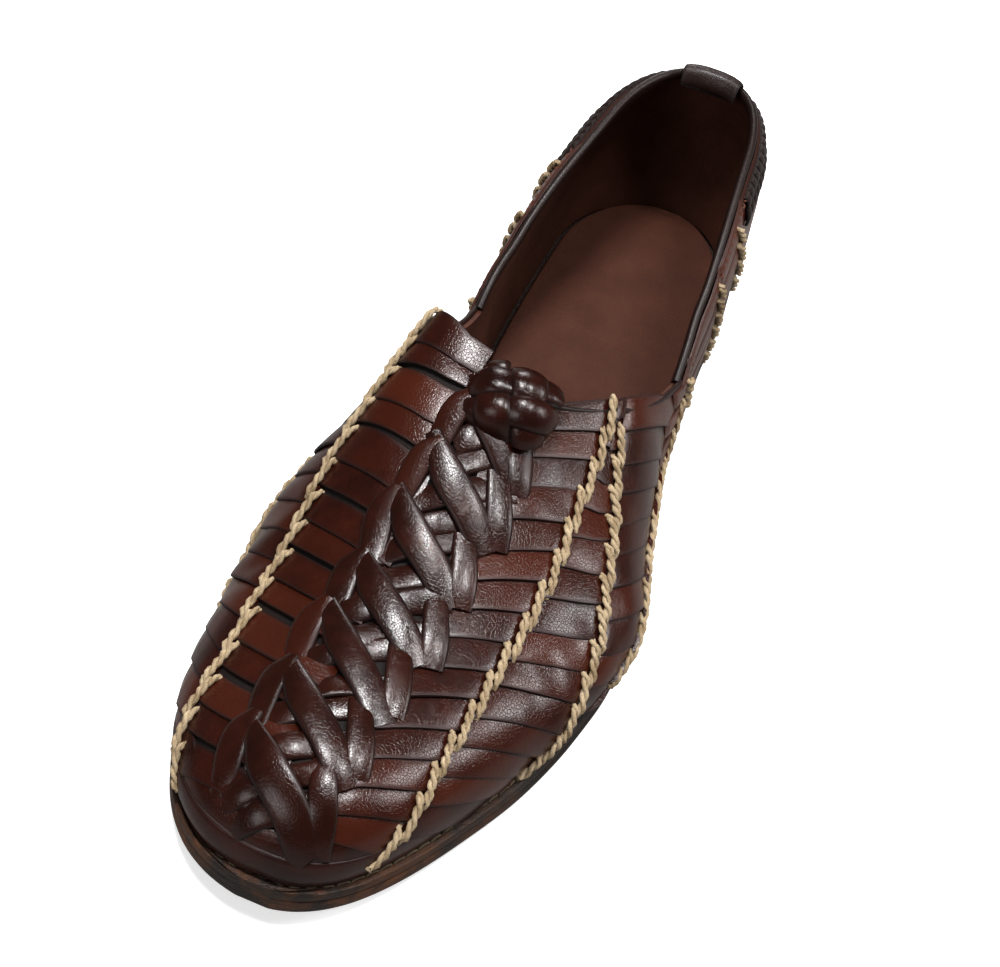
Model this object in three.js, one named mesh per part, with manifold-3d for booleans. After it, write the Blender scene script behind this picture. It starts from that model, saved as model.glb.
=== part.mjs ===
import * as THREE from "three";
import { mergeVertices } from "three/addons/utils/BufferGeometryUtils.js";
import Module from "manifold-3d";

// A woven leather slip-on sandal, the left shoe of a pair.
// Millimetres. +X runs from heel to toe, +Y to the outer side of the foot, +Z up.

// Driving sizes of the last and the sole
const soleLength = 290;
const ballWidth = 102;
const instepHeight = 70; // crest of the vamp, a little ahead of the throat
const collarHeight = 77; // top line at the back of the heel
const cornerHeight = 44; // lowest point of the top line, where vamp and quarter meet
const toeSpring = 6.5;
const heelPitch = 9.5; // height of the heel stack at the back
const breastHeight = 3.6; // height of the heel stack at its front
const outsoleThickness = 4.8;
const midsoleThickness = 3.4;
const insoleThickness = 2.6;
const topLiftThickness = 3.2;
const weltWidth = 4; // how far the sole stands out round the vamp
const heelEdge = 3; // and round the heel
const toeSwing = 6; // the toe turns this far to the inner side
const heelSwing = 3; // and the heel to the outer side

// Sizes of the leather and the lacing
const wallThickness = 1.7;
const strapRise = 1; // the straps stand this far off the wall between them
const seatGap = 0.3; // curved pieces meet this far apart
const overlayGap = 0.5; // pieces laid on the straps keep this far off them
const insoleClearance = 1.3;
const cordDiameter = 2.6;
const slitWidth = 1.3;
const joinGap = 0.1; // flat pieces of the sole lie this far apart
const stitchStep = 0.9; // each stitch of cord steps this far to either side of its row
const bindingHeight = 1.8;
const bindingDepth = 2.4;
const bandWidth = 10;
const bandThickness = 1.4;
const backstayWidth = 15;
const knotLength = 27;
const knotWidth = 31;
const knotHeight = 11;
const knotOffset = 12; // the knob sits this far to the outer side of the crest
const knotSink = 2.5; // and this far down between the straps that it ties
const knotSetback = 2; // and this far behind the throat

// Counts of the weave
const strapCount = 16;
const quarterStraps = 5;

// Places along the foot, as shares of the sole's length
const toeCapStart = 0.736;
const heelCapStart = 0.12;
const breastShare = 0.32;
const cornerShare = 0.362;
const throatShare = 0.545;
const flatStart = 0.57; // the forefoot stands flat on the floor from here
const flatEnd = 0.72; // to here
const counterShare = 0.17; // the counter is slit into straps ahead of this

// The last, section by section. The widths, ridge and bellies are shares of
// ballWidth, the crest of instepHeight. Inner and outer are the two sides of the foot.
const lastColumns = [
  "along", "inner", "outer", "crest", "ridge",
  "innerRound", "outerRound", "innerBelly", "outerBelly",
];
const lastRows = [
  [0.0, 0.285, 0.28, 1.46, 0.1, 1.95, 2.05, 0.035, 0.035],
  [0.1, 0.304, 0.298, 1.46, 0.1, 1.9, 2.0, 0.04, 0.04],
  [0.2, 0.308, 0.316, 1.46, 0.09, 1.9, 2.05, 0.04, 0.04],
  [0.3, 0.3, 0.345, 1.42, 0.04, 2.0, 2.15, 0.035, 0.032],
  [0.42, 0.272, 0.392, 1.28, -0.06, 3.0, 2.2, 0.03, 0.03],
  [0.52, 0.365, 0.44, 1.045, -0.105, 2.75, 1.95, 0.04, 0.065],
  [0.62, 0.49, 0.497, 0.835, -0.065, 2.15, 2.0, 0.042, 0.09],
  [0.7, 0.505, 0.48, 0.685, -0.02, 1.85, 2.1, 0.05, 0.072],
  [0.78, 0.485, 0.436, 0.59, 0, 1.8, 2.2, 0.055, 0.036],
  [0.86, 0.466, 0.386, 0.545, 0.005, 1.95, 2.35, 0.052, 0.02],
  [0.93, 0.46, 0.36, 0.515, 0.01, 2.15, 2.45, 0.035, 0.012],
  [1.0, 0.458, 0.35, 0.49, 0, 2.3, 2.5, 0.02, 0.008],
];

// Where the edge of each strap starts beside the braid and ends at the sole,
// as shares of the sole's length. Strap 0 is the one along the top line.
const strapColumns = ["number", "atBraid", "atSole"];
const strapRows = [
  [0, 0.545, 0.345],
  [2, 0.612, 0.462],
  [4, 0.679, 0.552],
  [6, 0.745, 0.634],
  [8, 0.81, 0.707],
  [10, 0.872, 0.786],
  [12, 0.927, 0.862],
  [14, 0.966, 0.93],
  [16, 1.0, 1.0],
];

// The top line seen from the side: along is a share of the sole's length, and
// height runs from 0 at the corner to 1 at the back of the heel.
const collarColumns = ["along", "height"];
const collarRows = [
  [0.0, 1.0],
  [0.06, 0.99],
  [0.12, 0.9],
  [0.185, 0.73],
  [0.26, 0.43],
  [0.33, 0.12],
  [0.362, 0.0],
];

// The top line of the vamp seen from the side: along runs from 0 at the corner to 1 at
// the throat, and height from 0 at the corner to 1 at the crest there.
const vampTopColumns = ["along", "height"];
const vampTopRows = [
  [0.0, 0.0],
  [0.3, 0.26],
  [0.62, 0.56],
  [0.88, 0.82],
  [1.0, 1.12],
];

const clamp = (value, low, high) => Math.min(high, Math.max(low, value));
const mix = (a, b, t) => a + (b - a) * t;
const ease = (a, b, value) => {
  const t = clamp((value - a) / (b - a), 0, 1);
  return t * t * (3 - 2 * t);
};

// A smooth curve through one column of a table, at a place given in its first column.
function readTable(columns, rows, name, at) {
  const column = columns.indexOf(name);
  const last = rows.length - 1;
  const place = clamp(at, rows[0][0], rows[last][0]);
  let i = 0;
  while (i < last - 1 && place > rows[i + 1][0]) i += 1;
  const slope = (k) => {
    const low = Math.max(0, k - 1);
    const high = Math.min(last, k + 1);
    return (rows[high][column] - rows[low][column]) / (rows[high][0] - rows[low][0]);
  };
  const span = rows[i + 1][0] - rows[i][0];
  const t = (place - rows[i][0]) / span;
  const u = 1 - t;
  return (
    u * u * (1 + 2 * t) * rows[i][column] +
    t * t * (3 - 2 * t) * rows[i + 1][column] +
    t * u * u * span * slope(i) -
    t * t * u * span * slope(i + 1)
  );
}

const lastAt = (name, x) => readTable(lastColumns, lastRows, name, x / soleLength);

// How much of the full width is left near a rounded end.
function roundedEnd(x, start, end, power) {
  const t = clamp((x - start) / (end - start), 0, 1);
  return Math.pow(1 - Math.pow(t, power), 1 / power);
}

const toePower = 2.23;
const heelPower = 2.2;

function endShare(x, toeInset, heelInset) {
  const toe = roundedEnd(x, toeCapStart * soleLength, soleLength - toeInset, toePower);
  const heel = roundedEnd(-x, -heelCapStart * soleLength, -heelInset, heelPower);
  return toe * heel;
}

// The edge inset from the sole's outline: weltWidth at the vamp, heelEdge at the heel.
const edgeInset = (x) => mix(heelEdge, weltWidth, ease(0.25, 0.45, x / soleLength));

// Half widths of the sole's outline on both sides, drawn in by an inset.
function outlineAt(x, inset, toeInset = inset, heelInset = inset) {
  const ends = endShare(x, toeInset, heelInset);
  return {
    inner: (lastAt("inner", x) * ballWidth - inset) * ends,
    outer: (lastAt("outer", x) * ballWidth - inset) * ends,
  };
}

const bendPower = 1.5; // how late the bend to either side sets in
function swingAt(x) {
  const fromMiddle = 2 * (x / soleLength) - 1;
  const bend = Math.pow(clamp(Math.abs(fromMiddle), 0, 1), bendPower);
  return fromMiddle > 0 ? -toeSwing * bend : heelSwing * bend;
}

// Height of the outsole's underside: the heel stack, the waist, the flat and the toe spring.
function undersideAt(x) {
  const share = x / soleLength;
  const toe = toeSpring * Math.pow(clamp((share - flatEnd) / (1 - flatEnd), 0, 1), 1.8);
  const heel = mix(heelPitch, breastHeight, clamp(share / breastShare, 0, 1));
  const waist = share < breastShare ? heel : breastHeight * (1 - ease(0.4, flatStart, share));
  return waist + toe;
}

const outsoleTop = (x) => undersideAt(x) + outsoleThickness;
const midsoleTop = (x) => outsoleTop(x) + midsoleThickness;
const featherHeight = (x) => midsoleTop(x) + seatGap;

// The back of the heel swells low down and leans in towards the top line.
const heelBelly = 1.2;
const heelLean = 5;

function heelShift(x, z) {
  const t = (z - featherHeight(0)) / (collarHeight - featherHeight(0));
  const belly = -heelBelly * Math.sin(Math.PI * clamp(t / 0.75, 0, 1));
  const lean = heelLean * Math.pow(Math.max(0, (t - 0.45) / 0.55), 2);
  return (belly + lean) * (1 - ease(0, 0.3, x / soleLength));
}

const arcSteps = 36;

// One side of the section at x, from the sole edge (0) to the crest (1) by length
// along the surface. side is -1 for the inner and +1 for the outer side.
function sectionSide(x, side, grow) {
  const inset = edgeInset(x) - grow;
  const outline = outlineAt(x, inset, weltWidth - grow, heelEdge - grow);
  const half = side < 0 ? outline.inner : outline.outer;
  const power = 2 / lastAt(side < 0 ? "innerRound" : "outerRound", x);
  const belly = lastAt(side < 0 ? "innerBelly" : "outerBelly", x) * ballWidth * Math.min(1, half / 15);
  const tip = roundedEnd(x, 0.9 * soleLength, soleLength - weltWidth + grow, 2.2);
  const base = featherHeight(x);
  const rise = (lastAt("crest", x) * instepHeight + grow - base) * tip;
  const ridge = lastAt("ridge", x) * ballWidth * tip;
  const points = [];
  for (let i = 0; i <= arcSteps; i += 1) {
    const angle = (Math.PI / 2) * (i / arcSteps);
    const up = Math.pow(Math.sin(angle), power);
    const out = Math.pow(Math.max(0, Math.cos(angle)), power);
    const swell = belly * Math.sin(Math.PI * clamp(up / 0.8, 0, 1)) * out;
    const y = swingAt(x) + ridge * up * up + side * (half * out + swell);
    points.push([y, base + rise * up]);
  }
  const lengths = [0];
  for (let i = 1; i <= arcSteps; i += 1) {
    const step = Math.hypot(points[i][0] - points[i - 1][0], points[i][1] - points[i - 1][1]);
    lengths.push(lengths[i - 1] + step);
  }
  return { points, lengths };
}

// The point on a side of the section that lies a share of the way up to the crest.
function sectionPoint(x, side, upShare, grow) {
  const { points, lengths } = sectionSide(x, side, grow);
  const wanted = clamp(upShare, 0, 1) * lengths[arcSteps];
  let i = 1;
  while (i < arcSteps && lengths[i] < wanted) i += 1;
  const t = (wanted - lengths[i - 1]) / Math.max(1e-9, lengths[i] - lengths[i - 1]);
  const y = mix(points[i - 1][0], points[i][0], t);
  const z = mix(points[i - 1][1], points[i][1], t);
  return new THREE.Vector3(x + heelShift(x, z), y, z);
}

// How far up a side of the section a height is met, as a share of the way to the crest.
function shareAtHeight(x, side, height, grow) {
  const { points, lengths } = sectionSide(x, side, grow);
  let i = 1;
  while (i < arcSteps && points[i][1] < height) i += 1;
  const t = clamp((height - points[i - 1][1]) / (points[i][1] - points[i - 1][1]), 0, 1);
  return mix(lengths[i - 1], lengths[i], t) / lengths[arcSteps];
}

// The top line's height over a place along the quarter.
function collarAt(x) {
  const height = readTable(collarColumns, collarRows, "height", x / soleLength);
  return mix(cornerHeight, collarHeight, height);
}

// The edge of the braid, as a share of the way out from the crest to the sole.
const braidShare = 0.2;
const endFacet = 0.3;

// How far out the first row of cord lies on each side where it crosses each strap.
const rowColumns = ["number", "inner", "outer"];
const rowRows = [
  [0, 0.32, 0.46],
  [3, 0.445, 0.42],
  [6, 0.5, 0.425],
  [9, 0.57, 0.465],
  [11.5, 0.67, 0.56],
  [14, 0.76, 0.69],
  [16, 0.8, 0.75],
];
const rowAt = (number, side) => readTable(rowColumns, rowRows, side < 0 ? "inner" : "outer", number);

// The straps sweep back from the braid to the sole, and step by half a strap under the cord.
function strapX(number, outShare, side, grow) {
  const heelX = heelEdge - grow + endFacet;
  const toeX = soleLength - weltWidth + grow - endFacet;
  const sweep = Math.pow(clamp((outShare - braidShare) / (1 - braidShare), 0, 1), 1.3);
  if (number < 0) {
    const braidX = mix(heelX, strapRows[0][1] * soleLength, 1 + number);
    const soleX = mix(heelX, strapRows[0][2] * soleLength, 1 + number);
    return mix(braidX, soleX, sweep);
  }
  const share = (name, n) => readTable(strapColumns, strapRows, name, n);
  const row = rowAt(number, side);
  const step = 0.5 * ease(row - 0.012, row + 0.012, outShare) * (number < strapCount ? 1 : 0);
  const stepped = Math.min(strapCount, number + step * ease(0, 1, number));
  const along = mix(share("atBraid", number), share("atSole", stepped), sweep);
  const jog = sweep > 0 ? (share("atBraid", stepped) - share("atBraid", number)) * (1 - sweep) : 0;
  return heelX + ((along + jog) * soleLength) * (toeX - heelX) / soleLength;
}

// Heights of a strap's cross line: low at its two edges, raised between them.
const strapProfile = [
  [0, 0],
  [0.14, 1],
  [0.86, 1],
];

const beltHalf = 0.02; // half of the belt that each row of cord binds, in shares

// Shares of the way up for each line of the vamp, sole edge first, from the cord rows.
function vampShares(number, side) {
  const row = rowAt(number, side);
  const outer = [1, 0.83, 0.66, 0.48, 0.3, 0.14, 0].map((t) => mix(row + beltHalf, 1, t));
  const inner = [0, 0.35, 0.7, 1].map((t) => mix(row - beltHalf, braidShare + beltHalf, t));
  const braid = [braidShare - beltHalf, braidShare / 2];
  return [...outer, ...inner, ...braid];
}

const lineCount = vampShares(0, 1).length;

// The lines of the quarter: its straps between the sole edge (0) and the top line (1), with
// whether each line is low or raised, then lines from the top line (1) to the crest (2).
function quarterLines() {
  const lines = [];
  for (let k = 0; k < quarterStraps; k += 1)
    for (const [at, high] of strapProfile.slice(0, 2)) lines.push([(k + at) / quarterStraps, high]);
  lines.push([1, 1]);
  const above = lineCount - lines.length;
  for (let k = 1; k <= above; k += 1) lines.push([1 + k / (above + 1), 1]);
  return lines;
}

// How far up the section a line of the quarter lies, at the place where its ring meets it.
function quarterUp(number, side, rise, grow) {
  let up = 0.3;
  for (let pass = 0; pass < 3; pass += 1) {
    const x = strapX(number, 1 - up, side, grow);
    const target = mix(featherHeight(x), collarAt(x), Math.min(1, rise));
    up = shareAtHeight(x, side, target, grow);
  }
  return rise > 1 ? mix(up, 1, rise - 1) : up;
}

// One ring of the upper's outer or inner surface at a strap number.
function upperRing(number, high, grow, raised, drop) {
  const quarter = quarterLines();
  const blend = ease(0, 2.2, number);
  const half = (side) => {
    const vamp = vampShares(number, side);
    const points = [];
    for (let j = 0; j < lineCount; j += 1) {
      const vampUp = 1 - vamp[j];
      const [rise, quarterHigh] = quarter[j];
      const up = blend < 1 ? mix(quarterUp(number, side, rise, grow), vampUp, blend) : vampUp;
      const x = strapX(number, 1 - up, side, grow);
      const slitFade = ease(counterShare, counterShare + 0.03, x / soleLength);
      const quarterRise = mix(1, quarterHigh, slitFade);
      const rim = j === 0 ? 0 : 1;
      const lift = raised * rim * mix(quarterRise, high, blend);
      points.push(sectionPoint(x, side, up, grow + lift));
    }
    if (drop > 0) points.unshift(points[0].clone().setZ(points[0].z - drop));
    return points;
  };
  const crest = sectionPoint(strapX(number, 0, 1, grow), 1, 1, grow + raised * high);
  return [...half(-1), crest, ...half(1).reverse()];
}

const wasm = await Module();
wasm.setup();

// A closed geometry as a solid that can be cut and joined.
function solidOf(geometry) {
  const bare = new THREE.BufferGeometry();
  bare.setAttribute("position", geometry.getAttribute("position"));
  if (geometry.index) bare.setIndex(geometry.index);
  const merged = mergeVertices(bare, 1e-4);
  const solid = new wasm.Manifold(
    new wasm.Mesh({
      numProp: 3,
      vertProperties: Float32Array.from(merged.attributes.position.array),
      triVerts: Uint32Array.from(merged.index.array),
    }),
  );
  return solid;
}

// The faces of a strip that joins the first half of a ring of points to the second.
function stripFaces(size) {
  const faces = [];
  for (let low = 0, high = size - 1; high - low > 1; low += 1, high -= 1) {
    faces.push([low, low + 1, high]);
    if (high - low > 2) faces.push([low + 1, high - 1, high]);
  }
  return faces;
}

// A closed skin over rings of equally many points, with a strip across each end.
function loft(rings) {
  const size = rings[0].length;
  const positions = rings.flat().flatMap((p) => [p.x, p.y, p.z]);
  const index = [];
  for (let i = 0; i + 1 < rings.length; i += 1)
    for (let j = 0; j < size; j += 1) {
      const a = i * size + j;
      const b = i * size + ((j + 1) % size);
      index.push(a, b, b + size, a, b + size, a + size);
    }
  for (const [ring, turned] of [[0, true], [rings.length - 1, false]])
    for (const face of stripFaces(size)) {
      const indices = face.map((j) => ring * size + j);
      index.push(...(turned ? indices.reverse() : indices));
    }
  const geometry = new THREE.BufferGeometry();
  geometry.setAttribute("position", new THREE.Float32BufferAttribute(positions, 3));
  geometry.setIndex(index);
  const solid = solidOf(geometry);
  if (solid.volume() > 0) return solid;
  for (let i = 0; i < index.length; i += 3) [index[i + 1], index[i + 2]] = [index[i + 2], index[i + 1]];
  geometry.setIndex(index);
  return solidOf(geometry);
}

// Numbers of the rings: some along the quarter, then three for each raised strap of the
// vamp, or one where the straps are left plain.
function ringNumbers(plain) {
  const numbers = [];
  const heelRings = 14;
  for (let i = 0; i < heelRings; i += 1) {
    const t = i / heelRings;
    numbers.push([-1 + mix(1 - Math.cos((Math.PI / 2) * t), t, t), 1]);
  }
  for (let k = 0; k < strapCount; k += 1)
    for (const [at, high] of strapProfile.slice(0, plain ? 1 : 3)) numbers.push([k + at, high]);
  numbers.push([strapCount - 0.5, 1], [strapCount, 1]);
  return numbers;
}

// The full form of the foot, grown by an amount, with its straps raised above that, or
// plain where raised is 0. drop lowers its open edge past the sole.
function footForm(grow, raised, drop = 0) {
  const numbers = ringNumbers(raised === 0);
  return loft(numbers.map(([number, high]) => upperRing(number, high, grow, raised, drop)));
}

const narrowHalf = 12; // insets shrink where half of the plate is narrower than this

// A plate of the sole, cut to the outline and drawn in by an inset. Each layer is
// [further inset, height above a base surface], from the underside to the top.
function plate({ from = 0, to = soleLength, inset = () => 0, ends = [0, 0], layers }) {
  const stations = 30;
  const heelX = Math.max(from, ends[0] + endFacet);
  const toeX = Math.min(to, soleLength - ends[1] - endFacet);
  const rings = [];
  for (let i = 0; i <= stations; i += 1) {
    const t = i / stations;
    const round = 0.5 - 0.5 * Math.cos(Math.PI * t);
    const x = mix(heelX, toeX, to < soleLength ? 1 - Math.cos((Math.PI / 2) * t) : round);
    const ring = [];
    for (const side of [-1, 1]) {
      const points = layers.map(([further, height]) => {
        const drawn = typeof further === "function" ? further(x) : further;
        const outline = outlineAt(x, inset(x), ends[1], ends[0]);
        const half = side < 0 ? outline.inner : outline.outer;
        const y = swingAt(x) + side * (half - drawn * Math.min(1, half / narrowHalf));
        return new THREE.Vector3(x, y, height(x));
      });
      ring.push(...(side < 0 ? points : points.reverse()));
    }
    rings.push(ring);
  }
  return loft(rings);
}

// A flat-sided solid standing on a side-view outline, wide enough to cut right through.
function sideCut(outline) {
  const shape = new THREE.Shape(outline.map(([x, z]) => new THREE.Vector2(x, z)));
  const depth = 2 * ballWidth;
  const geometry = new THREE.ExtrudeGeometry(shape, { depth, bevelEnabled: false });
  geometry.rotateX(Math.PI / 2);
  geometry.translate(0, depth / 2, 0);
  return solidOf(geometry);
}

// Everything above the top line, lowered by an amount.
function aboveTopLine(lowered) {
  const high = 2 * collarHeight;
  const throatX = throatShare * soleLength;
  const cornerX = cornerShare * soleLength;
  const throatHeight = lastAt("crest", throatX) * instepHeight;
  const outline = [[-high, high], [-high, collarHeight - lowered]];
  const steps = 14;
  for (let i = 0; i <= steps; i += 1) {
    const x = (cornerX * i) / steps;
    outline.push([x, collarAt(x) - lowered]);
  }
  for (const [along] of vampTopRows.slice(1)) {
    const height = readTable(vampTopColumns, vampTopRows, "height", along);
    outline.push([mix(cornerX, throatX, along), mix(cornerHeight, throatHeight, height) - lowered]);
  }
  outline.push([throatX + 1, high]);
  return sideCut(outline);
}

// A gap between two straps, run along their shared edge from the braid towards the cord.
function strapSlit(number, side) {
  const row = rowAt(number, side);
  const reach = 3;
  const rings = [0.05, 0.35, 0.65, 0.95].map((t) => {
    const out = mix(braidShare + beltHalf, row - beltHalf, t);
    const half = (slitWidth / 2) * Math.sin(Math.PI * mix(0.2, 0.85, t));
    const place = (shift, depth) => {
      const x = strapX(number, out, side, 0) + shift;
      return sectionPoint(x, side, 1 - out, depth);
    };
    return [place(-half, -reach), place(half, -reach), place(half, reach), place(-half, reach)];
  });
  return loft(rings);
}

const edgeDrop = 4; // cutting forms reach this far below the upper's lower edge

function upperSolid() {
  const outside = footForm(0, strapRise);
  const inside = footForm(-wallThickness, 0, edgeDrop);
  let upper = outside.subtract(inside).subtract(aboveTopLine(0));
  for (let number = 2; number < strapCount - 1; number += 2)
    for (const side of [-1, 1]) upper = upper.subtract(strapSlit(number, side));
  return upper;
}

// The form that everything laid on the upper keeps clear of.
const clearForm = footForm(strapRise + overlayGap, 0, edgeDrop);
const seatForm = footForm(strapRise + seatGap, 0, edgeDrop);

// A skin laid over the upper, between the clear form and a thickness above it.
function skin(thickness) {
  return footForm(strapRise + overlayGap + thickness, 0, edgeDrop).subtract(clearForm);
}

// Two rows of close lacing bind the top of the counter round the heel.
function heelBand() {
  const frontX = counterShare * soleLength;
  const ahead = sideCut([
    [frontX, -collarHeight],
    [2 * soleLength, -collarHeight],
    [2 * soleLength, 2 * collarHeight],
    [frontX - bandWidth / 2, 2 * collarHeight],
  ]);
  return skin(bandThickness)
    .subtract(ahead)
    .intersect(aboveTopLine(bandWidth + bindingDepth))
    .subtract(aboveTopLine(bindingDepth));
}

// An upright slab across the heel, to cut the backstay from a skin.
const heelLeanOut = 2; // the back of the heel leans this far to the outer side
function backSlab(width, low, high) {
  const shape = new THREE.BoxGeometry(2 * backstayWidth, width, high - low);
  shape.translate(0, swingAt(0) + heelLeanOut, (low + high) / 2);
  return solidOf(shape);
}

// The strip down the middle of the back, from the tab to the sole.
function backstay() {
  const low = featherHeight(0) + seatGap;
  const high = collarHeight - bandWidth - bindingDepth - seatGap;
  return skin(bandThickness).intersect(backSlab(backstayWidth, low, high));
}

// The edge of the top line from one corner round the heel to the other, as a narrow
// hem that stands on the cut edge of the wall.
function collarBinding() {
  const outside = footForm(strapRise, 0, edgeDrop);
  const inside = footForm(-wallThickness, 0, edgeDrop);
  const cornerX = cornerShare * soleLength;
  const ahead = sideCut([
    [cornerX - bindingDepth, -collarHeight],
    [2 * soleLength, -collarHeight],
    [2 * soleLength, 2 * collarHeight],
    [cornerX - bindingDepth, 2 * collarHeight],
  ]);
  return outside
    .subtract(inside)
    .intersect(aboveTopLine(-seatGap))
    .subtract(aboveTopLine(-seatGap - bindingHeight))
    .subtract(ahead);
}

// Each stitch's two ends: how far along it, to which side, and how thick.
const stitchEnds = [[0.08, -1, 0.85], [0.86, 1, 1]];

// A bead of cord laid over the straps. Each stitch steps from one side of the row to the
// other, and is thinner at its ends than in the middle.
function cordRow(route, stitches, lift = strapRise + 2 * overlayGap) {
  const rings = [];
  const place = (t, shift, height) => {
    const { x, up, side } = route(t);
    return sectionPoint(x, side, clamp(up + shift, 0, 1), lift + height);
  };
  for (let k = 0; k < stitches; k += 1)
    for (const [at, step, full] of stitchEnds) {
      const t = (k + at) / stitches;
      const half = (cordDiameter / 2) * full;
      const here = place(t, 0, 0);
      const ahead = place(Math.min(1, t + 0.01), 0, 0);
      const along = ahead.sub(here).normalize();
      const out = place(t, 0, 1).sub(here).normalize();
      const across = new THREE.Vector3().crossVectors(out, along).normalize();
      const middle = here.clone().addScaledVector(across, step * stitchStep);
      const section = [[-1, 0], [-0.6, 0.9], [0.6, 0.9], [1, 0]];
      rings.push(
        section.map(([a, b]) =>
          middle.clone().addScaledVector(across, a * half).addScaledVector(out, b * cordDiameter * full),
        ),
      );
    }
  return loft(rings).subtract(seatForm);
}

// The first row runs beside the braid from the top line to the toe, and the second leaves
// it at the top line and reaches the sole at the ball. out is how far the row lies
// outside the first one.
const cordColumns = ["share", "number", "out"];
const cordRoutes = {
  vamp_row_1: { stitches: 14, rows: [[0, 1, 0], [0.5, 7.2, 0], [1, 14, 0]] },
  vamp_row_2: { stitches: 12, rows: [[0, 0.7, 0.07], [0.4, 4.4, 0.16], [0.75, 7.8, 0.3], [1, 10.4, 0.42]] },
};
const lowestCord = 0.95; // a row ends this far out, just above the sole

function vampCord(name, side) {
  const { stitches, rows } = cordRoutes[name];
  const route = (t) => {
    const number = readTable(cordColumns, rows, "number", t);
    const out = Math.min(lowestCord, rowAt(number, side) + readTable(cordColumns, rows, "out", t));
    return { x: strapX(number, out, side, 0), up: 1 - out, side };
  };
  return cordRow(route, stitches);
}

// The cords of the quarter: the parting between vamp and quarter, and three columns that
// bind the quarter's straps. along is a share of the sole's length, and height runs from
// 0 at the sole edge to 1 at the top line.
const quarterColumns = ["share", "along", "height"];
const innerParting = [[0, 0.37, 0.9], [0.5, 0.45, 0.52], [1, 0.53, 0.16]];
const outerParting = [[0, 0.37, 0.9], [0.3, 0.44, 0.56], [0.75, 0.58, 0.52], [1, 0.64, 0.2]];
const quarterCords = {
  parting_inner: { stitches: 7, rows: innerParting, lift: strapRise + 3 * overlayGap },
  parting_outer: { stitches: 9, rows: outerParting },
};
for (const word of ["inner", "outer"]) {
  quarterCords[`column_front_${word}`] = { stitches: 4, rows: [[0, 0.345, 0.9], [1, 0.315, 0.3]] };
  quarterCords[`column_middle_${word}`] = { stitches: 6, rows: [[0, 0.25, 0.93], [1, 0.235, 0.16]] };
  quarterCords[`column_rear_${word}`] = { stitches: 4, rows: [[0, 0.185, 0.93], [1, 0.165, 0.36]] };
}

function quarterCord({ stitches, rows, lift }, side) {
  const route = (t) => {
    const x = readTable(quarterColumns, rows, "along", t) * soleLength;
    const up = readTable(quarterColumns, rows, "height", t);
    const height = mix(featherHeight(x), collarAt(x), up);
    return { x, up: shareAtHeight(x, side, height, 0), side };
  };
  return cordRow(route, stitches, lift);
}

// The braided knob at the throat: fat loops of strap packed side by side. along and
// across are shares of its length and width from its middle, up is a share of its
// height, and long and wide are each loop's half sizes as shares of the same.
const knotColumns = ["along", "across", "up", "long", "wide", "turn"];
const knotRows = [
  [-0.22, -0.3, 0.42, 0.24, 0.17, 0.5],
  [-0.26, 0.04, 0.5, 0.2, 0.2, -0.3],
  [-0.16, 0.32, 0.42, 0.24, 0.15, -0.6],
  [0.06, -0.16, 0.52, 0.24, 0.16, 0.7],
  [0.05, 0.17, 0.5, 0.24, 0.16, -0.7],
  [0.3, -0.26, 0.3, 0.2, 0.15, 0.3],
  [0.32, 0.06, 0.34, 0.2, 0.16, -0.2],
  [0.16, 0.42, 0.22, 0.2, 0.12, 0],
];
function throatKnot() {
  const middleX = throatShare * soleLength - knotSetback;
  const crest = sectionPoint(middleX, 1, 1, 0);
  const slope = Math.atan2(sectionPoint(middleX + 10, 1, 1, 0).z - crest.z, 10);
  let knot = null;
  for (const [along, across, up, long, wide, turn] of knotRows) {
    const loop = new THREE.SphereGeometry(1, 7, 5);
    loop.scale(long * knotLength * 1.15, wide * knotWidth * 1.15, knotHeight * 0.52);
    loop.rotateZ(turn);
    loop.translate(along * knotLength, across * knotWidth, up * knotHeight);
    loop.rotateY(-slope);
    loop.translate(crest.x, crest.y + knotOffset, crest.z + strapRise - knotSink);
    const solid = solidOf(loop);
    knot = knot ? knot.add(solid) : solid;
  }
  return knot.subtract(clearForm);
}

// The sole: outsole, stitched midsole and a low two-piece heel.
const edgeRound = 0.9;
const grooveInset = 1.9;
const grooveWidth = 1;
const grooveDepth = 0.7;
const heelGroove = 0.4; // round the heel the groove is this share as deep

function outsole() {
  const rounded = (x) => (x < breastShare * soleLength ? 0 : edgeRound);
  return plate({
    layers: [
      [rounded, undersideAt],
      [0, (x) => undersideAt(x) + edgeRound],
      [0, (x) => outsoleTop(x) - edgeRound / 2],
      [edgeRound / 2, outsoleTop],
    ],
  });
}

// A form as wide as the outline drawn in by an inset, that reaches from the bottom of the
// groove to above the midsole.
function grooveForm(inset) {
  const depth = (x) => grooveDepth * mix(heelGroove, 1, ease(0.3, 0.45, x / soleLength));
  return plate({
    ends: [inset, inset],
    inset: () => inset,
    layers: [[0, (x) => midsoleTop(x) - depth(x)], [0, (x) => midsoleTop(x) + grooveDepth]],
  });
}

function midsole() {
  const bottom = (x) => outsoleTop(x) + joinGap;
  const slab = plate({
    layers: [
      [edgeRound / 2, bottom],
      [0, (x) => bottom(x) + edgeRound / 2],
      [0, (x) => midsoleTop(x) - edgeRound],
      [edgeRound / 2, midsoleTop],
    ],
  });
  return slab.subtract(grooveForm(grooveInset).subtract(grooveForm(grooveInset + grooveWidth)));
}

const heelStart = 0.6; // the heel is drawn in this much from the outsole

function topLift() {
  const breastX = breastShare * soleLength;
  return plate({
    to: breastX,
    ends: [heelStart, heelStart],
    inset: () => heelStart,
    layers: [[edgeRound, () => 0], [0, () => edgeRound], [0, () => topLiftThickness]],
  });
}

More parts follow.
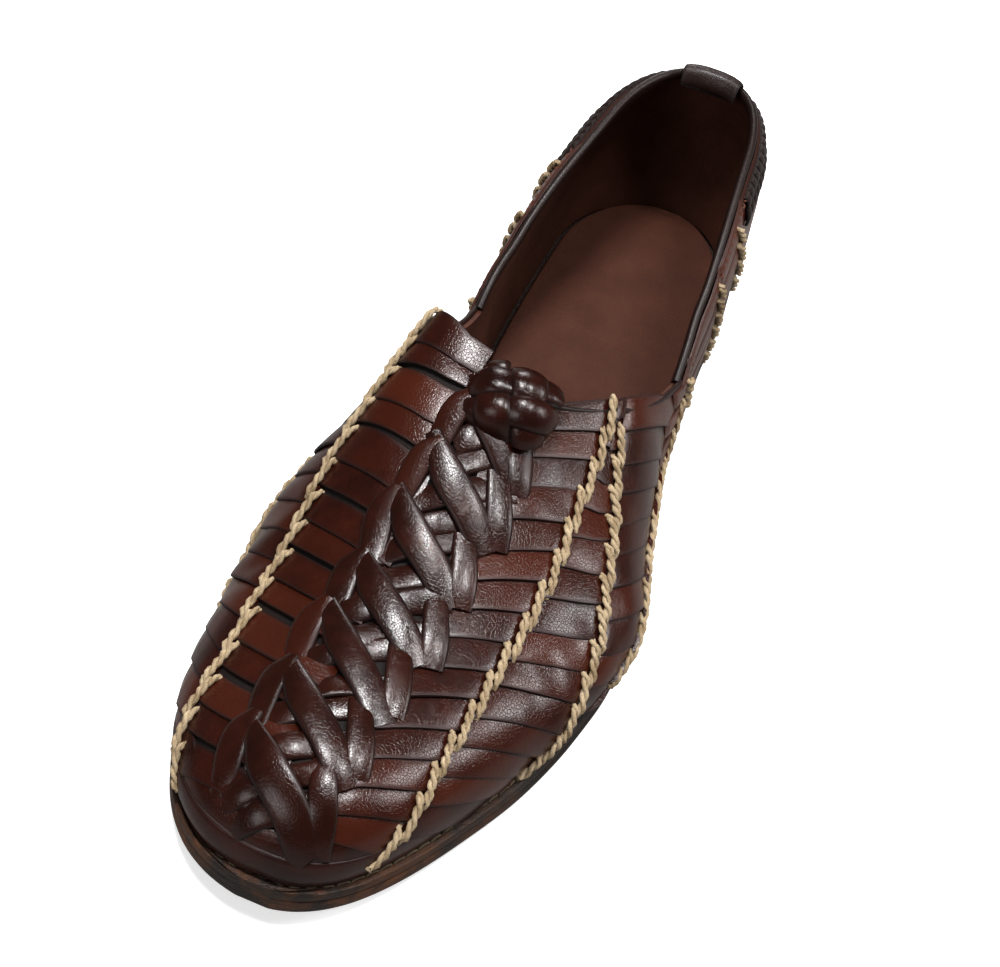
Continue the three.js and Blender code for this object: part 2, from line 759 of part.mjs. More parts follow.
function heelBlock() {
  const breastX = breastShare * soleLength;
  return plate({
    to: breastX - edgeRound,
    ends: [heelStart, heelStart],
    inset: () => heelStart,
    layers: [[0, () => topLiftThickness + joinGap], [0, (x) => undersideAt(x) - joinGap]],
  });
}

function insole() {
  const clear = wallThickness + insoleClearance;
  const inset = (x) => edgeInset(x) + clear;
  const bottom = (x) => midsoleTop(x) + seatGap;
  return plate({
    ends: [heelEdge + clear, weltWidth + clear],
    inset,
    layers: [
      [0, bottom],
      [0, (x) => bottom(x) + insoleThickness - edgeRound],
      [edgeRound, (x) => bottom(x) + insoleThickness],
    ],
  });
}

const group = new THREE.Group();
group.name = "woven_slip_on_left";

function addPiece(name, solid, color, roughness) {
  const { vertProperties, triVerts, numProp } = solid.getMesh();
  const positions = [];
  for (let i = 0; i < vertProperties.length; i += numProp)
    positions.push(vertProperties[i], vertProperties[i + 1], vertProperties[i + 2]);
  const geometry = new THREE.BufferGeometry();
  geometry.setAttribute("position", new THREE.Float32BufferAttribute(positions, 3));
  geometry.setIndex(Array.from(triVerts));
  const material = new THREE.MeshStandardMaterial({ color, roughness, metalness: 0 });
  const piece = new THREE.Mesh(geometry, material);
  piece.name = name;
  group.add(piece);
}

const strapBrown = 0x3d1c14;
const edgeBrown = 0x2b1d18;
const liningTan = 0x7a4a2c;
const cordTan = 0xb99a6b;

addPiece("top_lift", topLift(), edgeBrown, 0.6);
addPiece("heel_block", heelBlock(), edgeBrown, 0.55);
addPiece("outsole", outsole(), edgeBrown, 0.55);
addPiece("midsole", midsole(), edgeBrown, 0.55);
addPiece("insole", insole(), liningTan, 0.6);
addPiece("upper", upperSolid(), strapBrown, 0.35);
addPiece("throat_knot", throatKnot(), strapBrown, 0.3);
addPiece("collar_binding", collarBinding(), edgeBrown, 0.5);
addPiece("heel_band", heelBand(), edgeBrown, 0.5);
addPiece("backstay", backstay(), edgeBrown, 0.45);
for (const [word, side] of [["inner", -1], ["outer", 1]]) {
  for (const name of Object.keys(cordRoutes)) addPiece(`${name}_${word}`, vampCord(name, side), cordTan, 0.9);
  for (const [name, cord] of Object.entries(quarterCords))
    if (name.endsWith(word)) addPiece(name, quarterCord(cord, side), cordTan, 0.9);
}

// The origin is the middle of the shoe's footprint on the floor.
const bounds = new THREE.Box3().setFromObject(group);
const middle = bounds.getCenter(new THREE.Vector3());
group.position.set(-middle.x, -middle.y, -bounds.min.z);

export default group;
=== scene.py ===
import math

import bpy
import numpy as np
from mathutils import Matrix, Vector


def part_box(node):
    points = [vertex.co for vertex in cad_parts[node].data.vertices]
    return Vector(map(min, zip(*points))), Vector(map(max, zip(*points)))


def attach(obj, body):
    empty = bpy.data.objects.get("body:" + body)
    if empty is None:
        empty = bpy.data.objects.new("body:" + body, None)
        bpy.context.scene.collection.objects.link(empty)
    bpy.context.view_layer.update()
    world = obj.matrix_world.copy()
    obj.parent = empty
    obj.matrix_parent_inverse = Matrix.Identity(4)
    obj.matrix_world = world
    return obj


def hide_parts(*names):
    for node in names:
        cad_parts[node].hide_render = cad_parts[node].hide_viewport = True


# Woven leather slip-on, the left shoe. Sizes in tables are millimetres on the last,
# measured from the heel end, and every mesh is written in metres in the shared frame.
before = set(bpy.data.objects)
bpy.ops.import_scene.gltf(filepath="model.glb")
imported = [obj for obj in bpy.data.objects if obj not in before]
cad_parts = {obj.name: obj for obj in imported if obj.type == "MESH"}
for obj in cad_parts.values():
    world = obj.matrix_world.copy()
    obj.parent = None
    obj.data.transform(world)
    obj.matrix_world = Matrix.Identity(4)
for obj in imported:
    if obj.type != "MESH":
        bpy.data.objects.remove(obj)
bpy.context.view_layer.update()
mm = 0.001
rng = np.random.default_rng(11)
print("frame loaded")

# The last: lengths and shares of the length, then the powers and shares that bend its curves.
lastSizes = dict(length=290.0, ball=102.0, instep=70.0, collar=77.0, corner=44.0,
                 toeSpring=6.5, heelPitch=9.5, breastHeight=3.6, outsole=4.8, midsole=3.4, feather=0.3,
                 insole=2.6, topLift=3.2, welt=4.0, heelEdge=3.0, toeSwing=6.0, heelSwing=3.0, wall=1.7,
                 toeCap=0.736, heelCap=0.12, breast=0.32, cornerShare=0.362, throat=0.545,
                 flatStart=0.57, flatEnd=0.72, heelBelly=1.2, heelLean=5.0, endFacet=0.3)
lastCurves = dict(toeRound=2.23, heelRound=2.2, tipStart=0.9, tipRound=2.2, swingPower=1.5,
                  springPower=1.8, waistStart=0.4, bellyTop=0.75, leanFrom=0.45, heelReach=0.3,
                  weltFrom=0.25, weltTo=0.45, swellTop=0.8, swellHalf=15.0)
lastColumns = ("along", "inner", "outer", "crest", "ridge",
               "innerRound", "outerRound", "innerBelly", "outerBelly")
lastRows = (
    (0.0, 0.285, 0.28, 1.46, 0.1, 1.95, 2.05, 0.035, 0.035),
    (0.1, 0.304, 0.298, 1.46, 0.1, 1.9, 2.0, 0.04, 0.04),
    (0.2, 0.308, 0.316, 1.46, 0.09, 1.9, 2.05, 0.04, 0.04),
    (0.3, 0.3, 0.345, 1.42, 0.04, 2.0, 2.15, 0.035, 0.032),
    (0.42, 0.272, 0.392, 1.28, -0.06, 3.0, 2.2, 0.03, 0.03),
    (0.52, 0.365, 0.44, 1.045, -0.105, 2.75, 1.95, 0.04, 0.065),
    (0.62, 0.49, 0.497, 0.835, -0.065, 2.15, 2.0, 0.042, 0.09),
    (0.7, 0.505, 0.48, 0.685, -0.02, 1.85, 2.1, 0.05, 0.072),
    (0.78, 0.485, 0.436, 0.59, 0, 1.8, 2.2, 0.055, 0.036),
    (0.86, 0.466, 0.386, 0.545, 0.005, 1.95, 2.35, 0.052, 0.02),
    (0.93, 0.46, 0.36, 0.515, 0.01, 2.15, 2.45, 0.035, 0.012),
    (1.0, 0.458, 0.35, 0.49, 0, 2.3, 2.5, 0.02, 0.008),
)
collarRows = ((0.0, 1.0), (0.06, 0.99), (0.12, 0.9), (0.185, 0.73),
              (0.26, 0.43), (0.33, 0.12), (0.362, 0.0))
vampTopRows = ((0.0, 0.0), (0.3, 0.26), (0.62, 0.56), (0.88, 0.82), (1.0, 1.12))


def mix(a, b, t):
    return a + (b - a) * t


def ease(a, b, value):
    t = np.clip((value - a) / (b - a), 0, 1)
    return t * t * (3 - 2 * t)


def unit(vectors):
    return vectors / np.maximum(1e-9, np.linalg.norm(vectors, axis=-1, keepdims=True))


def lengthAlong(points):
    return np.concatenate([[0], np.cumsum(np.linalg.norm(np.diff(points, axis=0), axis=1))])


# A smooth curve through one column of a table, read at places of its first column.
def readTable(rows, column, at):
    table = np.array(rows, float)
    first, values = table[:, 0], table[:, column]
    count = len(first)
    at = np.clip(np.asarray(at, float), first[0], first[-1])
    low = np.maximum(np.arange(count) - 1, 0)
    high = np.minimum(np.arange(count) + 1, count - 1)
    slope = (values[high] - values[low]) / (first[high] - first[low])
    i = np.clip(np.searchsorted(first, at, side="left") - 1, 0, count - 2)
    span = first[i + 1] - first[i]
    t = (at - first[i]) / span
    u = 1 - t
    return (u * u * (1 + 2 * t) * values[i] + t * t * (3 - 2 * t) * values[i + 1]
            + t * u * u * span * slope[i] - t * t * u * span * slope[i + 1])


def lastAt(name, x):
    return readTable(lastRows, lastColumns.index(name), np.asarray(x) / lastSizes["length"])


def roundedEnd(x, start, end, power):
    t = np.clip((x - start) / (end - start), 0, 1)
    return (1 - t ** power) ** (1 / power)


def outlineAt(x, inset, toeInset, heelInset):
    length = lastSizes["length"]
    toe = roundedEnd(x, lastSizes["toeCap"] * length, length - toeInset, lastCurves["toeRound"])
    heel = roundedEnd(-x, -lastSizes["heelCap"] * length, -heelInset, lastCurves["heelRound"])
    inner = (lastAt("inner", x) * lastSizes["ball"] - inset) * toe * heel
    outer = (lastAt("outer", x) * lastSizes["ball"] - inset) * toe * heel
    return inner, outer


def swingAt(x):
    fromMiddle = 2 * np.asarray(x, float) / lastSizes["length"] - 1
    bend = np.clip(np.abs(fromMiddle), 0, 1) ** lastCurves["swingPower"]
    return np.where(fromMiddle > 0, -lastSizes["toeSwing"], lastSizes["heelSwing"]) * bend


def undersideAt(x):
    share = np.asarray(x, float) / lastSizes["length"]
    pastFlat = np.clip((share - lastSizes["flatEnd"]) / (1 - lastSizes["flatEnd"]), 0, 1)
    toe = lastSizes["toeSpring"] * pastFlat ** lastCurves["springPower"]
    underHeel = np.clip(share / lastSizes["breast"], 0, 1)
    heel = mix(lastSizes["heelPitch"], lastSizes["breastHeight"], underHeel)
    waist = lastSizes["breastHeight"] * (1 - ease(lastCurves["waistStart"], lastSizes["flatStart"], share))
    return np.where(share < lastSizes["breast"], heel, waist) + toe


def outsoleTop(x):
    return undersideAt(x) + lastSizes["outsole"]


def midsoleTop(x):
    return outsoleTop(x) + lastSizes["midsole"]


def featherAt(x):
    return midsoleTop(x) + lastSizes["feather"]


def collarAt(x):
    return mix(lastSizes["corner"], lastSizes["collar"], readTable(collarRows, 1, x / lastSizes["length"]))


def heelShift(x, z):
    low = featherAt(0)
    t = (z - low) / (lastSizes["collar"] - low)
    leanFrom = lastCurves["leanFrom"]
    belly = -lastSizes["heelBelly"] * np.sin(math.pi * np.clip(t / lastCurves["bellyTop"], 0, 1))
    lean = lastSizes["heelLean"] * np.maximum(0, (t - leanFrom) / (1 - leanFrom)) ** 2
    return (belly + lean) * (1 - ease(0, lastCurves["heelReach"], x / lastSizes["length"]))


# The form of the foot is charted once: places along it, and shares out from the crest (0)
# to the sole edge (-1 inner, +1 outer).
heelX = lastSizes["heelEdge"] + lastSizes["endFacet"]
toeX = lastSizes["length"] - lastSizes["welt"] - lastSizes["endFacet"]
formSteps = dict(along=420, out=72, arc=90, plain=600, search=18)


def chartForm():
    length = lastSizes["length"]
    u = np.linspace(0, 1, formSteps["along"] + 1)
    xs = heelX + (toeX - heelX) * (0.5 - 0.5 * np.cos(math.pi * u))
    angle = np.linspace(0, math.pi / 2, formSteps["arc"] + 1)
    chart = np.zeros((len(xs), 2 * formSteps["out"] + 1, 3))
    shares = np.linspace(0, 1, formSteps["out"] + 1)
    for i, x in enumerate(xs):
        toWelt = ease(lastCurves["weltFrom"], lastCurves["weltTo"], x / length)
        inset = mix(lastSizes["heelEdge"], lastSizes["welt"], toWelt)
        halves = outlineAt(x, inset, lastSizes["welt"], lastSizes["heelEdge"])
        tipStart = lastCurves["tipStart"] * length
        tip = roundedEnd(x, tipStart, length - lastSizes["welt"], lastCurves["tipRound"])
        base = featherAt(x)
        rise = (lastAt("crest", x) * lastSizes["instep"] - base) * tip
        ridge = lastAt("ridge", x) * lastSizes["ball"] * tip
        for side, half, word in ((-1, halves[0], "inner"), (1, halves[1], "outer")):
            power = 2 / lastAt(word + "Round", x)
            belly = lastAt(word + "Belly", x) * lastSizes["ball"] * min(1, half / lastCurves["swellHalf"])
            up = np.sin(angle) ** power
            out = np.maximum(0, np.cos(angle)) ** power
            swell = belly * np.sin(math.pi * np.clip(up / lastCurves["swellTop"], 0, 1)) * out
            y = swingAt(x) + ridge * up * up + side * (half * out + swell)
            z = base + rise * up
            lengths = lengthAlong(np.stack([y, z], 1))
            wanted = (1 - shares) * lengths[-1]
            yy, zz = np.interp(wanted, lengths, y), np.interp(wanted, lengths, z)
            points = np.stack([x + heelShift(x, zz), yy, zz], 1)
            if side > 0:
                chart[i, formSteps["out"]:] = points
            else:
                chart[i, :formSteps["out"] + 1] = points[::-1]
    return chart, unit(np.cross(np.gradient(chart, axis=0), np.gradient(chart, axis=1)))


chart, chartNormals = chartForm()
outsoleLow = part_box("outsole")[0]
plainX = np.linspace(lastSizes["endFacet"], lastSizes["length"] - lastSizes["endFacet"],
                     formSteps["plain"])
innerEdge = (swingAt(plainX) - outlineAt(plainX, 0, 0, 0)[0]).min()
shift = np.array([outsoleLow.x / mm - lastSizes["endFacet"], outsoleLow.y / mm - innerEdge, 0.0])
print("last charted")


def lookUp(grid, x, out):
    u = np.arccos(np.clip(1 - 2 * (x - heelX) / (toeX - heelX), -1, 1)) / math.pi * formSteps["along"]
    v = (np.clip(out, -1, 1) + 1) * formSteps["out"]
    i = np.clip(np.floor(u).astype(int), 0, formSteps["along"] - 1)
    j = np.clip(np.floor(v).astype(int), 0, 2 * formSteps["out"] - 1)
    a, b = (u - i)[..., None], (v - j)[..., None]
    return mix(mix(grid[i, j], grid[i + 1, j], a), mix(grid[i, j + 1], grid[i + 1, j + 1], a), b)


# Soft troughs and ridges that wear leaves: a line from one place and share out to another,
# how wide it is, and how deep (below 0: a ridge).
creaseRows = (
    (212, 0.56, 226, 0.9, 4.0, 0.5),
    (205, 0.58, 218, 0.9, 3.5, -0.3),
    (196, 0.6, 208, 0.92, 4.5, 0.55),
    (181, 0.62, 192, 0.9, 4.0, 0.35),
    (206, -0.6, 219, -0.92, 4.0, 0.5),
    (198, -0.62, 210, -0.92, 3.5, -0.3),
    (190, -0.62, 202, -0.92, 4.5, 0.5),
    (168, 0.2, 172, 0.4, 4.0, 0.3),
    (128, 0.5, 120, 0.78, 5.0, 0.6),
    (86, 0.62, 98, 0.86, 6.0, 0.6),
    (84, -0.62, 96, -0.86, 6.0, 0.6),
    (16, 0.66, 46, 0.8, 7.0, 0.7),
    (14, 0.74, 40, 0.86, 5.0, -0.4),
    (18, -0.62, 44, -0.78, 7.0, 0.7),
)
creaseSpread = 75.0  # millimetres that one whole share out stands for


def creaseAt(x, out):
    depth = np.zeros(np.shape(x))
    for x0, out0, x1, out1, width, deep in creaseRows:
        along, across = x1 - x0, (out1 - out0) * creaseSpread
        dx, dy = x - x0, (out - out0) * creaseSpread
        reach = along * along + across * across
        t = np.clip((dx * along + dy * across) / reach, 0, 1)
        away = np.hypot(dx - t * along, dy - t * across)
        depth += deep * np.exp(-(away / width) ** 2)
    return depth


# Points and normals of the form at a place along it and a share out.
def onForm(x, out):
    x, out = np.broadcast_arrays(np.asarray(x, float), np.asarray(out, float))
    normal = unit(lookUp(chartNormals, x, out))
    return lookUp(chart, x, out) - normal * creaseAt(x, out)[..., None], normal


# The share out where a side of the form has a given height.
def outAtHeight(x, side, height):
    x, height = np.broadcast_arrays(np.asarray(x, float), np.asarray(height, float))
    low, high = np.zeros(x.shape), np.ones(x.shape)
    for _ in range(formSteps["search"]):
        middle = (low + high) / 2
        above = lookUp(chart, x, side * middle)[..., 2] > height
        low, high = np.where(above, middle, low), np.where(above, high, middle)
    return side * (low + high) / 2


# The share out where the top of the form lies at a given y.
def outAtY(x, y):
    x, y = np.broadcast_arrays(np.asarray(x, float), np.asarray(y, float))
    widest = 0.9
    low, high = np.full(x.shape, -widest), np.full(x.shape, widest)
    for _ in range(formSteps["search"]):
        middle = (low + high) / 2
        beyond = lookUp(chart, x, middle)[..., 1] > y
        low, high = np.where(beyond, low, middle), np.where(beyond, middle, high)
    return (low + high) / 2


# Height of the top line over a place along the shoe.
def topLineAt(x):
    corner = lastSizes["cornerShare"] * lastSizes["length"]
    throat = lastSizes["throat"] * lastSizes["length"]
    share = np.clip((x - corner) / (throat - corner), 0, 1)
    throatHeight = lastAt("crest", throat) * lastSizes["instep"]
    vamp = mix(lastSizes["corner"], throatHeight, readTable(vampTopRows, 1, share))
    return np.where(x < corner, collarAt(np.minimum(x, corner)), vamp)


# Mesh building
def newBuild():
    return dict(verts=[], faces=[], edge=[], tone=[], along=[], count=0)


# Adds a grid of points (rows, ring) as a closed band, with its ends filled.
def addBand(build, points, edge, tone, along):
    rows, ring = points.shape[:2]
    start = build["count"]
    build["verts"].append(points.reshape(-1, 3))
    build["edge"].append(np.broadcast_to(edge, (rows, ring)).ravel())
    build["tone"].append(np.full(rows * ring, tone))
    build["along"].append(np.broadcast_to(along, (rows, ring)).ravel())
    for i in range(rows - 1):
        for j in range(ring):
            k = (j + 1) % ring
            a, b = start + i * ring, start + (i + 1) * ring
            build["faces"].append((a + j, a + k, b + k, b + j))
    build["faces"].append(tuple(start + j for j in reversed(range(ring))))
    build["faces"].append(tuple(start + (rows - 1) * ring + j for j in range(ring)))
    build["count"] += rows * ring


def finishMesh(name, build, materials, faceSlots=None):
    mesh = bpy.data.meshes.new(name)
    verts = (np.concatenate(build["verts"]) + shift) * mm
    mesh.from_pydata(verts.tolist(), [], build["faces"])
    for key in ("edge", "tone", "along"):
        if build[key]:
            attribute = mesh.attributes.new(key, "FLOAT", "POINT")
            attribute.data.foreach_set("value", np.concatenate(build[key]).astype(np.float32))
    for material in materials:
        mesh.materials.append(material)
    if faceSlots is not None:
        mesh.polygons.foreach_set("material_index", np.array(faceSlots, np.int32))
    mesh.polygons.foreach_set("use_smooth", [True] * len(mesh.polygons))
    mesh.validate()
    mesh.update()
    piece = bpy.data.objects.new(name, mesh)
    bpy.context.scene.collection.objects.link(piece)
    return piece


# Turns faces outwards, rounds the shading below an angle, and hands the piece to the frame.
def settle(piece, replaced=(), angle=48):
    bpy.context.view_layer.objects.active = piece
    piece.select_set(True)
    bpy.ops.object.mode_set(mode="EDIT")
    bpy.ops.mesh.select_all(action="SELECT")
    bpy.ops.mesh.normals_make_consistent(inside=False)
    bpy.ops.object.mode_set(mode="OBJECT")
    bpy.ops.object.shade_smooth_by_angle(angle=math.radians(angle))
    piece.select_set(False)
    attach(piece, "root")
    if replaced:
        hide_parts(*replaced)
    return piece


# The ring round a strap: shares of its width over the top, then back underneath.
strapRing = dict(top=(0.0, 0.025, 0.08, 0.2, 0.36, 0.5, 0.64, 0.8, 0.92, 0.975, 1.0),
                 under=(0.88, 0.5, 0.12), darkEdge=0.16)


# A strap of leather. place gives points and normals over (along, across), lift the height of
# its middle layer over the form, and its long edges are rolled down.
def addStrap(build, place, lift, thickness=1.3, crown=0.3, steps=12, tone=None, roll=0.07):
    top = strapRing["top"]
    s = np.array(top + strapRing["under"])
    isTop = np.arange(len(s)) < len(top)
    grid, across = np.meshgrid(np.linspace(0, 1, steps), s, indexing="ij")
    points, normals = place(grid, across)
    nearEdge = np.minimum(across, 1 - across)
    rolled = np.clip(1 - nearEdge / roll, 0, 1)
    face = np.where(isTop, thickness * 0.5 * np.sqrt(1 - rolled ** 2), -thickness * 0.5)
    height = lift(grid, across) + crown * np.sin(math.pi * across) + face
    points = points + normals * height[..., None]
    length = lengthAlong(points[:, len(top) // 2])
    edge = np.clip(1 - nearEdge / strapRing["darkEdge"], 0, 1)
    addBand(build, points, edge, rng.random() if tone is None else tone, length[:, None])


# A ribbon laid on top of the form by a plan route of (x, y) points, with its ends narrowed.
def planRoute(route, width, pointed=(1.0, 1.0)):
    control = np.array(route, float)
    place = np.linspace(0, 1, len(control))
    wide = np.broadcast_to(np.array(width, float), (len(control),))
    rows = [(place[i], control[i, 0], control[i, 1], wide[i]) for i in range(len(control))]
    step, taper = 0.02, 0.3

    def at(grid, across):
        x, y, w = (readTable(rows, c, grid) for c in (1, 2, 3))
        before, after = np.maximum(0, grid - step), np.minimum(1, grid + step)
        dx = readTable(rows, 1, after) - readTable(rows, 1, before)
        dy = readTable(rows, 2, after) - readTable(rows, 2, before)
        size = np.hypot(dx, dy)
        first = mix(pointed[0], 1, np.clip(grid / taper, 0, 1))
        last = mix(pointed[1], 1, np.clip((1 - grid) / taper, 0, 1))
        offset = (across - 0.5) * w * first * last
        px = np.clip(x - dy / size * offset, heelX, toeX)
        return onForm(px, outAtY(px, y + dx / size * offset))
    return at


# A tube along points, round, or oval where its flatness isn't 1.
def addTube(build, centres, radius, sides=10, tone=0.5, up=(0.0, 0.0, 1.0), flatness=1.0):
    side = unit(np.cross(unit(np.gradient(centres, axis=0)), np.asarray(up, float)))
    rise = np.cross(side, unit(np.gradient(centres, axis=0)))
    angle = np.linspace(0, 2 * math.pi, sides, endpoint=False)
    sideways = np.cos(angle)[None, :, None] * side[:, None]
    upward = flatness * np.sin(angle)[None, :, None] * rise[:, None]
    addBand(build, centres[:, None] + (sideways + upward) * radius, 0.0, tone, lengthAlong(centres)[:, None])


# Two strands twisted together along points.
def addTwist(build, centres, normals, strand, spread, turnLength, phase):
    side = np.cross(unit(np.gradient(centres, axis=0)), normals)
    length = lengthAlong(centres)
    flattened = 1.25
    tone = rng.random()
    for half in (0, math.pi):
        angle = phase + half + 2 * math.pi * length / turnLength
        sideways = np.cos(angle)[:, None] * side * spread * flattened
        upward = np.sin(angle)[:, None] * normals * spread
        addTube(build, centres + sideways + upward, strand, sides=7, tone=tone, up=normals)


# Shader helpers
def addNode(tree, kind, inputs=None, **settings):
    made = tree.nodes.new(kind)
    for key, value in settings.items():
        setattr(made, key, value)
    for key, value in (inputs or {}).items():
        if isinstance(value, bpy.types.NodeSocket):
            tree.links.new(value, made.inputs[key])
        else:
            made.inputs[key].default_value = value
    return made


def newGroup(name, inputs, outputs):
    group = bpy.data.node_groups.new(name, "ShaderNodeTree")
    for label, default in inputs:
        socket = group.interface.new_socket(label, in_out="INPUT", socket_type="NodeSocketFloat")
        socket.default_value = default
    for label in outputs:
        group.interface.new_socket(label, in_out="OUTPUT", socket_type="NodeSocketFloat")
    return group, addNode(group, "NodeGroupInput"), addNode(group, "NodeGroupOutput")


def mathNode(tree, operation, a, b=0.0, clamp=False):
    made = addNode(tree, "ShaderNodeMath", {0: a, 1: b}, operation=operation)
    made.use_clamp = clamp
    return made.outputs[0]


def times(tree, a, b, clamp=False):
    return mathNode(tree, "MULTIPLY", a, b, clamp)


def plus(tree, a, b):
    return mathNode(tree, "ADD", a, b)


def objectSpot(tree):
    return addNode(tree, "ShaderNodeTexCoord").outputs["Object"]


def noise(tree, spot, scale, detail, roughness=0.5):
    values = {"Vector": spot, "Scale": scale, "Detail": detail, "Roughness": roughness}
    return addNode(tree, "ShaderNodeTexNoise", values).outputs["Fac"]


def cellEdges(tree, spot, scale):
    values = {"Vector": spot, "Scale": scale}
    return addNode(tree, "ShaderNodeTexVoronoi", values, feature="DISTANCE_TO_EDGE").outputs["Distance"]


def pieceValue(tree, name):
    return addNode(tree, "ShaderNodeAttribute", attribute_name=name).outputs["Fac"]


# Fine leather grain: cells, pores and a soft swell, as one height.
grainLook = dict(cells=1150.0, cellReach=0.12, cellDepth=2.6, fine=2400.0, fineDepth=0.35,
                 lines=330.0, lineReach=0.06, lineDepth=6.0, swell=210.0, swellDepth=1.1)


def grainGroup():
    look = grainLook
    group, entry, leave = newGroup("leatherGrain", (("Scale", 1.0), ("Creases", 0.4)), ("Height", "Pores"))
    spot = objectSpot(group)
    scaled = {key: times(group, entry.outputs["Scale"], look[key])
              for key in ("cells", "fine", "lines", "swell")}
    cell = mathNode(group, "MINIMUM", cellEdges(group, spot, scaled["cells"]), look["cellReach"])
    cell = times(group, cell, look["cellDepth"])
    crease = mathNode(group, "MINIMUM", cellEdges(group, spot, scaled["lines"]), look["lineReach"])
    crease = times(group, times(group, crease, look["lineDepth"]), entry.outputs["Creases"])
    height = plus(group, cell, times(group, noise(group, spot, scaled["fine"], 3.0), look["fineDepth"]))
    height = plus(group, height, crease)
    swell = noise(group, spot, scaled["swell"], 5.0, 0.62)
    height = plus(group, height, times(group, swell, look["swellDepth"]))
    group.links.new(height, leave.inputs["Height"])
    group.links.new(mathNode(group, "SUBTRACT", 1.0, cell), leave.inputs["Pores"])
    return group


# Cloudy dye: broad patches with streaks that follow the strap.
dyeLook = dict(patches=95.0, patchWeight=1.9, streaks=760.0, streakPull=0.06, darkest=0.45)


def dyeGroup():
    look = dyeLook
    group, entry, leave = newGroup("cloudyDye", (("Streaks", 0.5),), ("Mask",))
    spot = objectSpot(group)
    patches = noise(group, spot, look["patches"], 6.0, 0.6)
    pulledAlong = times(group, pieceValue(group, "along"), look["streakPull"])
    pulled = addNode(group, "ShaderNodeCombineXYZ", {0: pulledAlong})
    moved = addNode(group, "ShaderNodeVectorMath", {0: spot, 1: pulled.outputs[0]}, operation="ADD")
    streak = times(group, noise(group, moved.outputs[0], look["streaks"], 3.0), entry.outputs["Streaks"])
    value = plus(group, times(group, patches, look["patchWeight"]), streak)
    value = mathNode(group, "SUBTRACT", value, times(group, entry.outputs["Streaks"], 0.5))
    group.links.new(mathNode(group, "SUBTRACT", value, look["darkest"], clamp=True), leave.inputs["Mask"])
    return group


# Burnished edges: the edge attribute, broken up by noise.
def edgeGroup():
    group, entry, leave = newGroup("burnishedEdge", (("Breakup", 0.5),), ("Mask",))
    edge = pieceValue(group, "edge")
    rough = noise(group, objectSpot(group), 420.0, 3.0)
    broken = times(group, mathNode(group, "SUBTRACT", rough, 0.5), entry.outputs["Breakup"])
    mask = times(group, plus(group, edge, broken), edge, clamp=True)
    group.links.new(mask, leave.inputs["Mask"])
    return group


grain, dye, burnish = grainGroup(), dyeGroup(), edgeGroup()


def blendColour(tree, mask, first, second):
    made = addNode(tree, "ShaderNodeMix", {"Factor": mask}, data_type="RGBA")
    for index, value in ((6, first), (7, second)):
        if isinstance(value, bpy.types.NodeSocket):
            tree.links.new(value, made.inputs[index])
        else:
            made.inputs[index].default_value = (*value, 1.0)
    return made.outputs[2]


def placeGroup(tree, group, values):
    made = addNode(tree, "ShaderNodeGroup", node_tree=group)
    for key, value in values.items():
        made.inputs[key].default_value = value
    return made


def newMaterial(name):
    material = bpy.data.materials.new(name)
    material.use_nodes = True
    return material, material.node_tree, material.node_tree.nodes["Principled BSDF"]


def addRelief(tree, shader, height, distance, strength):
    relief = addNode(tree, "ShaderNodeBump", {"Height": height, "Distance": distance, "Strength": strength})
    tree.links.new(relief.outputs["Normal"], shader.inputs["Normal"])


# One leather, from its own colours and gloss.
leatherBlend = dict(toneShare=0.75, edgeShare=0.85, poreShare=0.22, cloudDull=0.07, poreDull=0.05,
                    edgeDull=0.4, edgeBreakup=0.5, coatRough=0.22, specular=0.42, relief=0.8)


def leather(name, dark, mid, bright, rough, coat, grainScale=1.0, bump=0.00012, creases=0.4, streaks=0.6):
    blend = leatherBlend
    material, tree, shader = newMaterial(name)
    clouds = placeGroup(tree, dye, {"Streaks": streaks}).outputs["Mask"]
    edges = placeGroup(tree, burnish, {"Breakup": blend["edgeBreakup"]}).outputs["Mask"]
    skin = placeGroup(tree, grain, {"Scale": grainScale, "Creases": creases})
    tone = pieceValue(tree, "tone")
    colour = blendColour(tree, clouds, dark, mid)
    colour = blendColour(tree, times(tree, times(tree, tone, tone), blend["toneShare"]), colour, bright)
    colour = blendColour(tree, times(tree, edges, blend["edgeShare"]), colour, dark)
    colour = blendColour(tree, times(tree, skin.outputs["Pores"], blend["poreShare"]), colour, dark)
    tree.links.new(colour, shader.inputs["Base Color"])
    dull = times(tree, clouds, blend["cloudDull"])
    dull = plus(tree, dull, times(tree, skin.outputs["Pores"], blend["poreDull"]))
    dull = plus(tree, dull, times(tree, edges, blend["edgeDull"]))
    tree.links.new(plus(tree, dull, rough), shader.inputs["Roughness"])
    shader.inputs["Coat Weight"].default_value = coat
    shader.inputs["Coat Roughness"].default_value = blend["coatRough"]
    shader.inputs["Specular IOR Level"].default_value = blend["specular"]
    addRelief(tree, shader, skin.outputs["Height"], bump, blend["relief"])
    return material


strapLeather = leather("strap_leather_oxblood", dark=(0.0105, 0.0026, 0.0017), mid=(0.055, 0.0098, 0.0042),
                       bright=(0.092, 0.019, 0.0072), rough=0.16, coat=0.1, bump=0.00008)
sheenLeather = leather("braid_leather_polished", dark=(0.0085, 0.0028, 0.002), mid=(0.04, 0.0085, 0.0045),
                       bright=(0.075, 0.0165, 0.0072), rough=0.13, coat=0.03, grainScale=1.2,
                       bump=0.00006, creases=0.15)
counterLeather = leather("counter_leather", dark=(0.035, 0.0078, 0.0036), mid=(0.105, 0.022, 0.0082),
                         bright=(0.135, 0.03, 0.011), rough=0.26, coat=0.2, streaks=0.25)
bindingLeather = leather("binding_leather", dark=(0.0085, 0.004, 0.003), mid=(0.024, 0.0085, 0.0055),
                         bright=(0.042, 0.013, 0.0075), rough=0.38, coat=0.1)
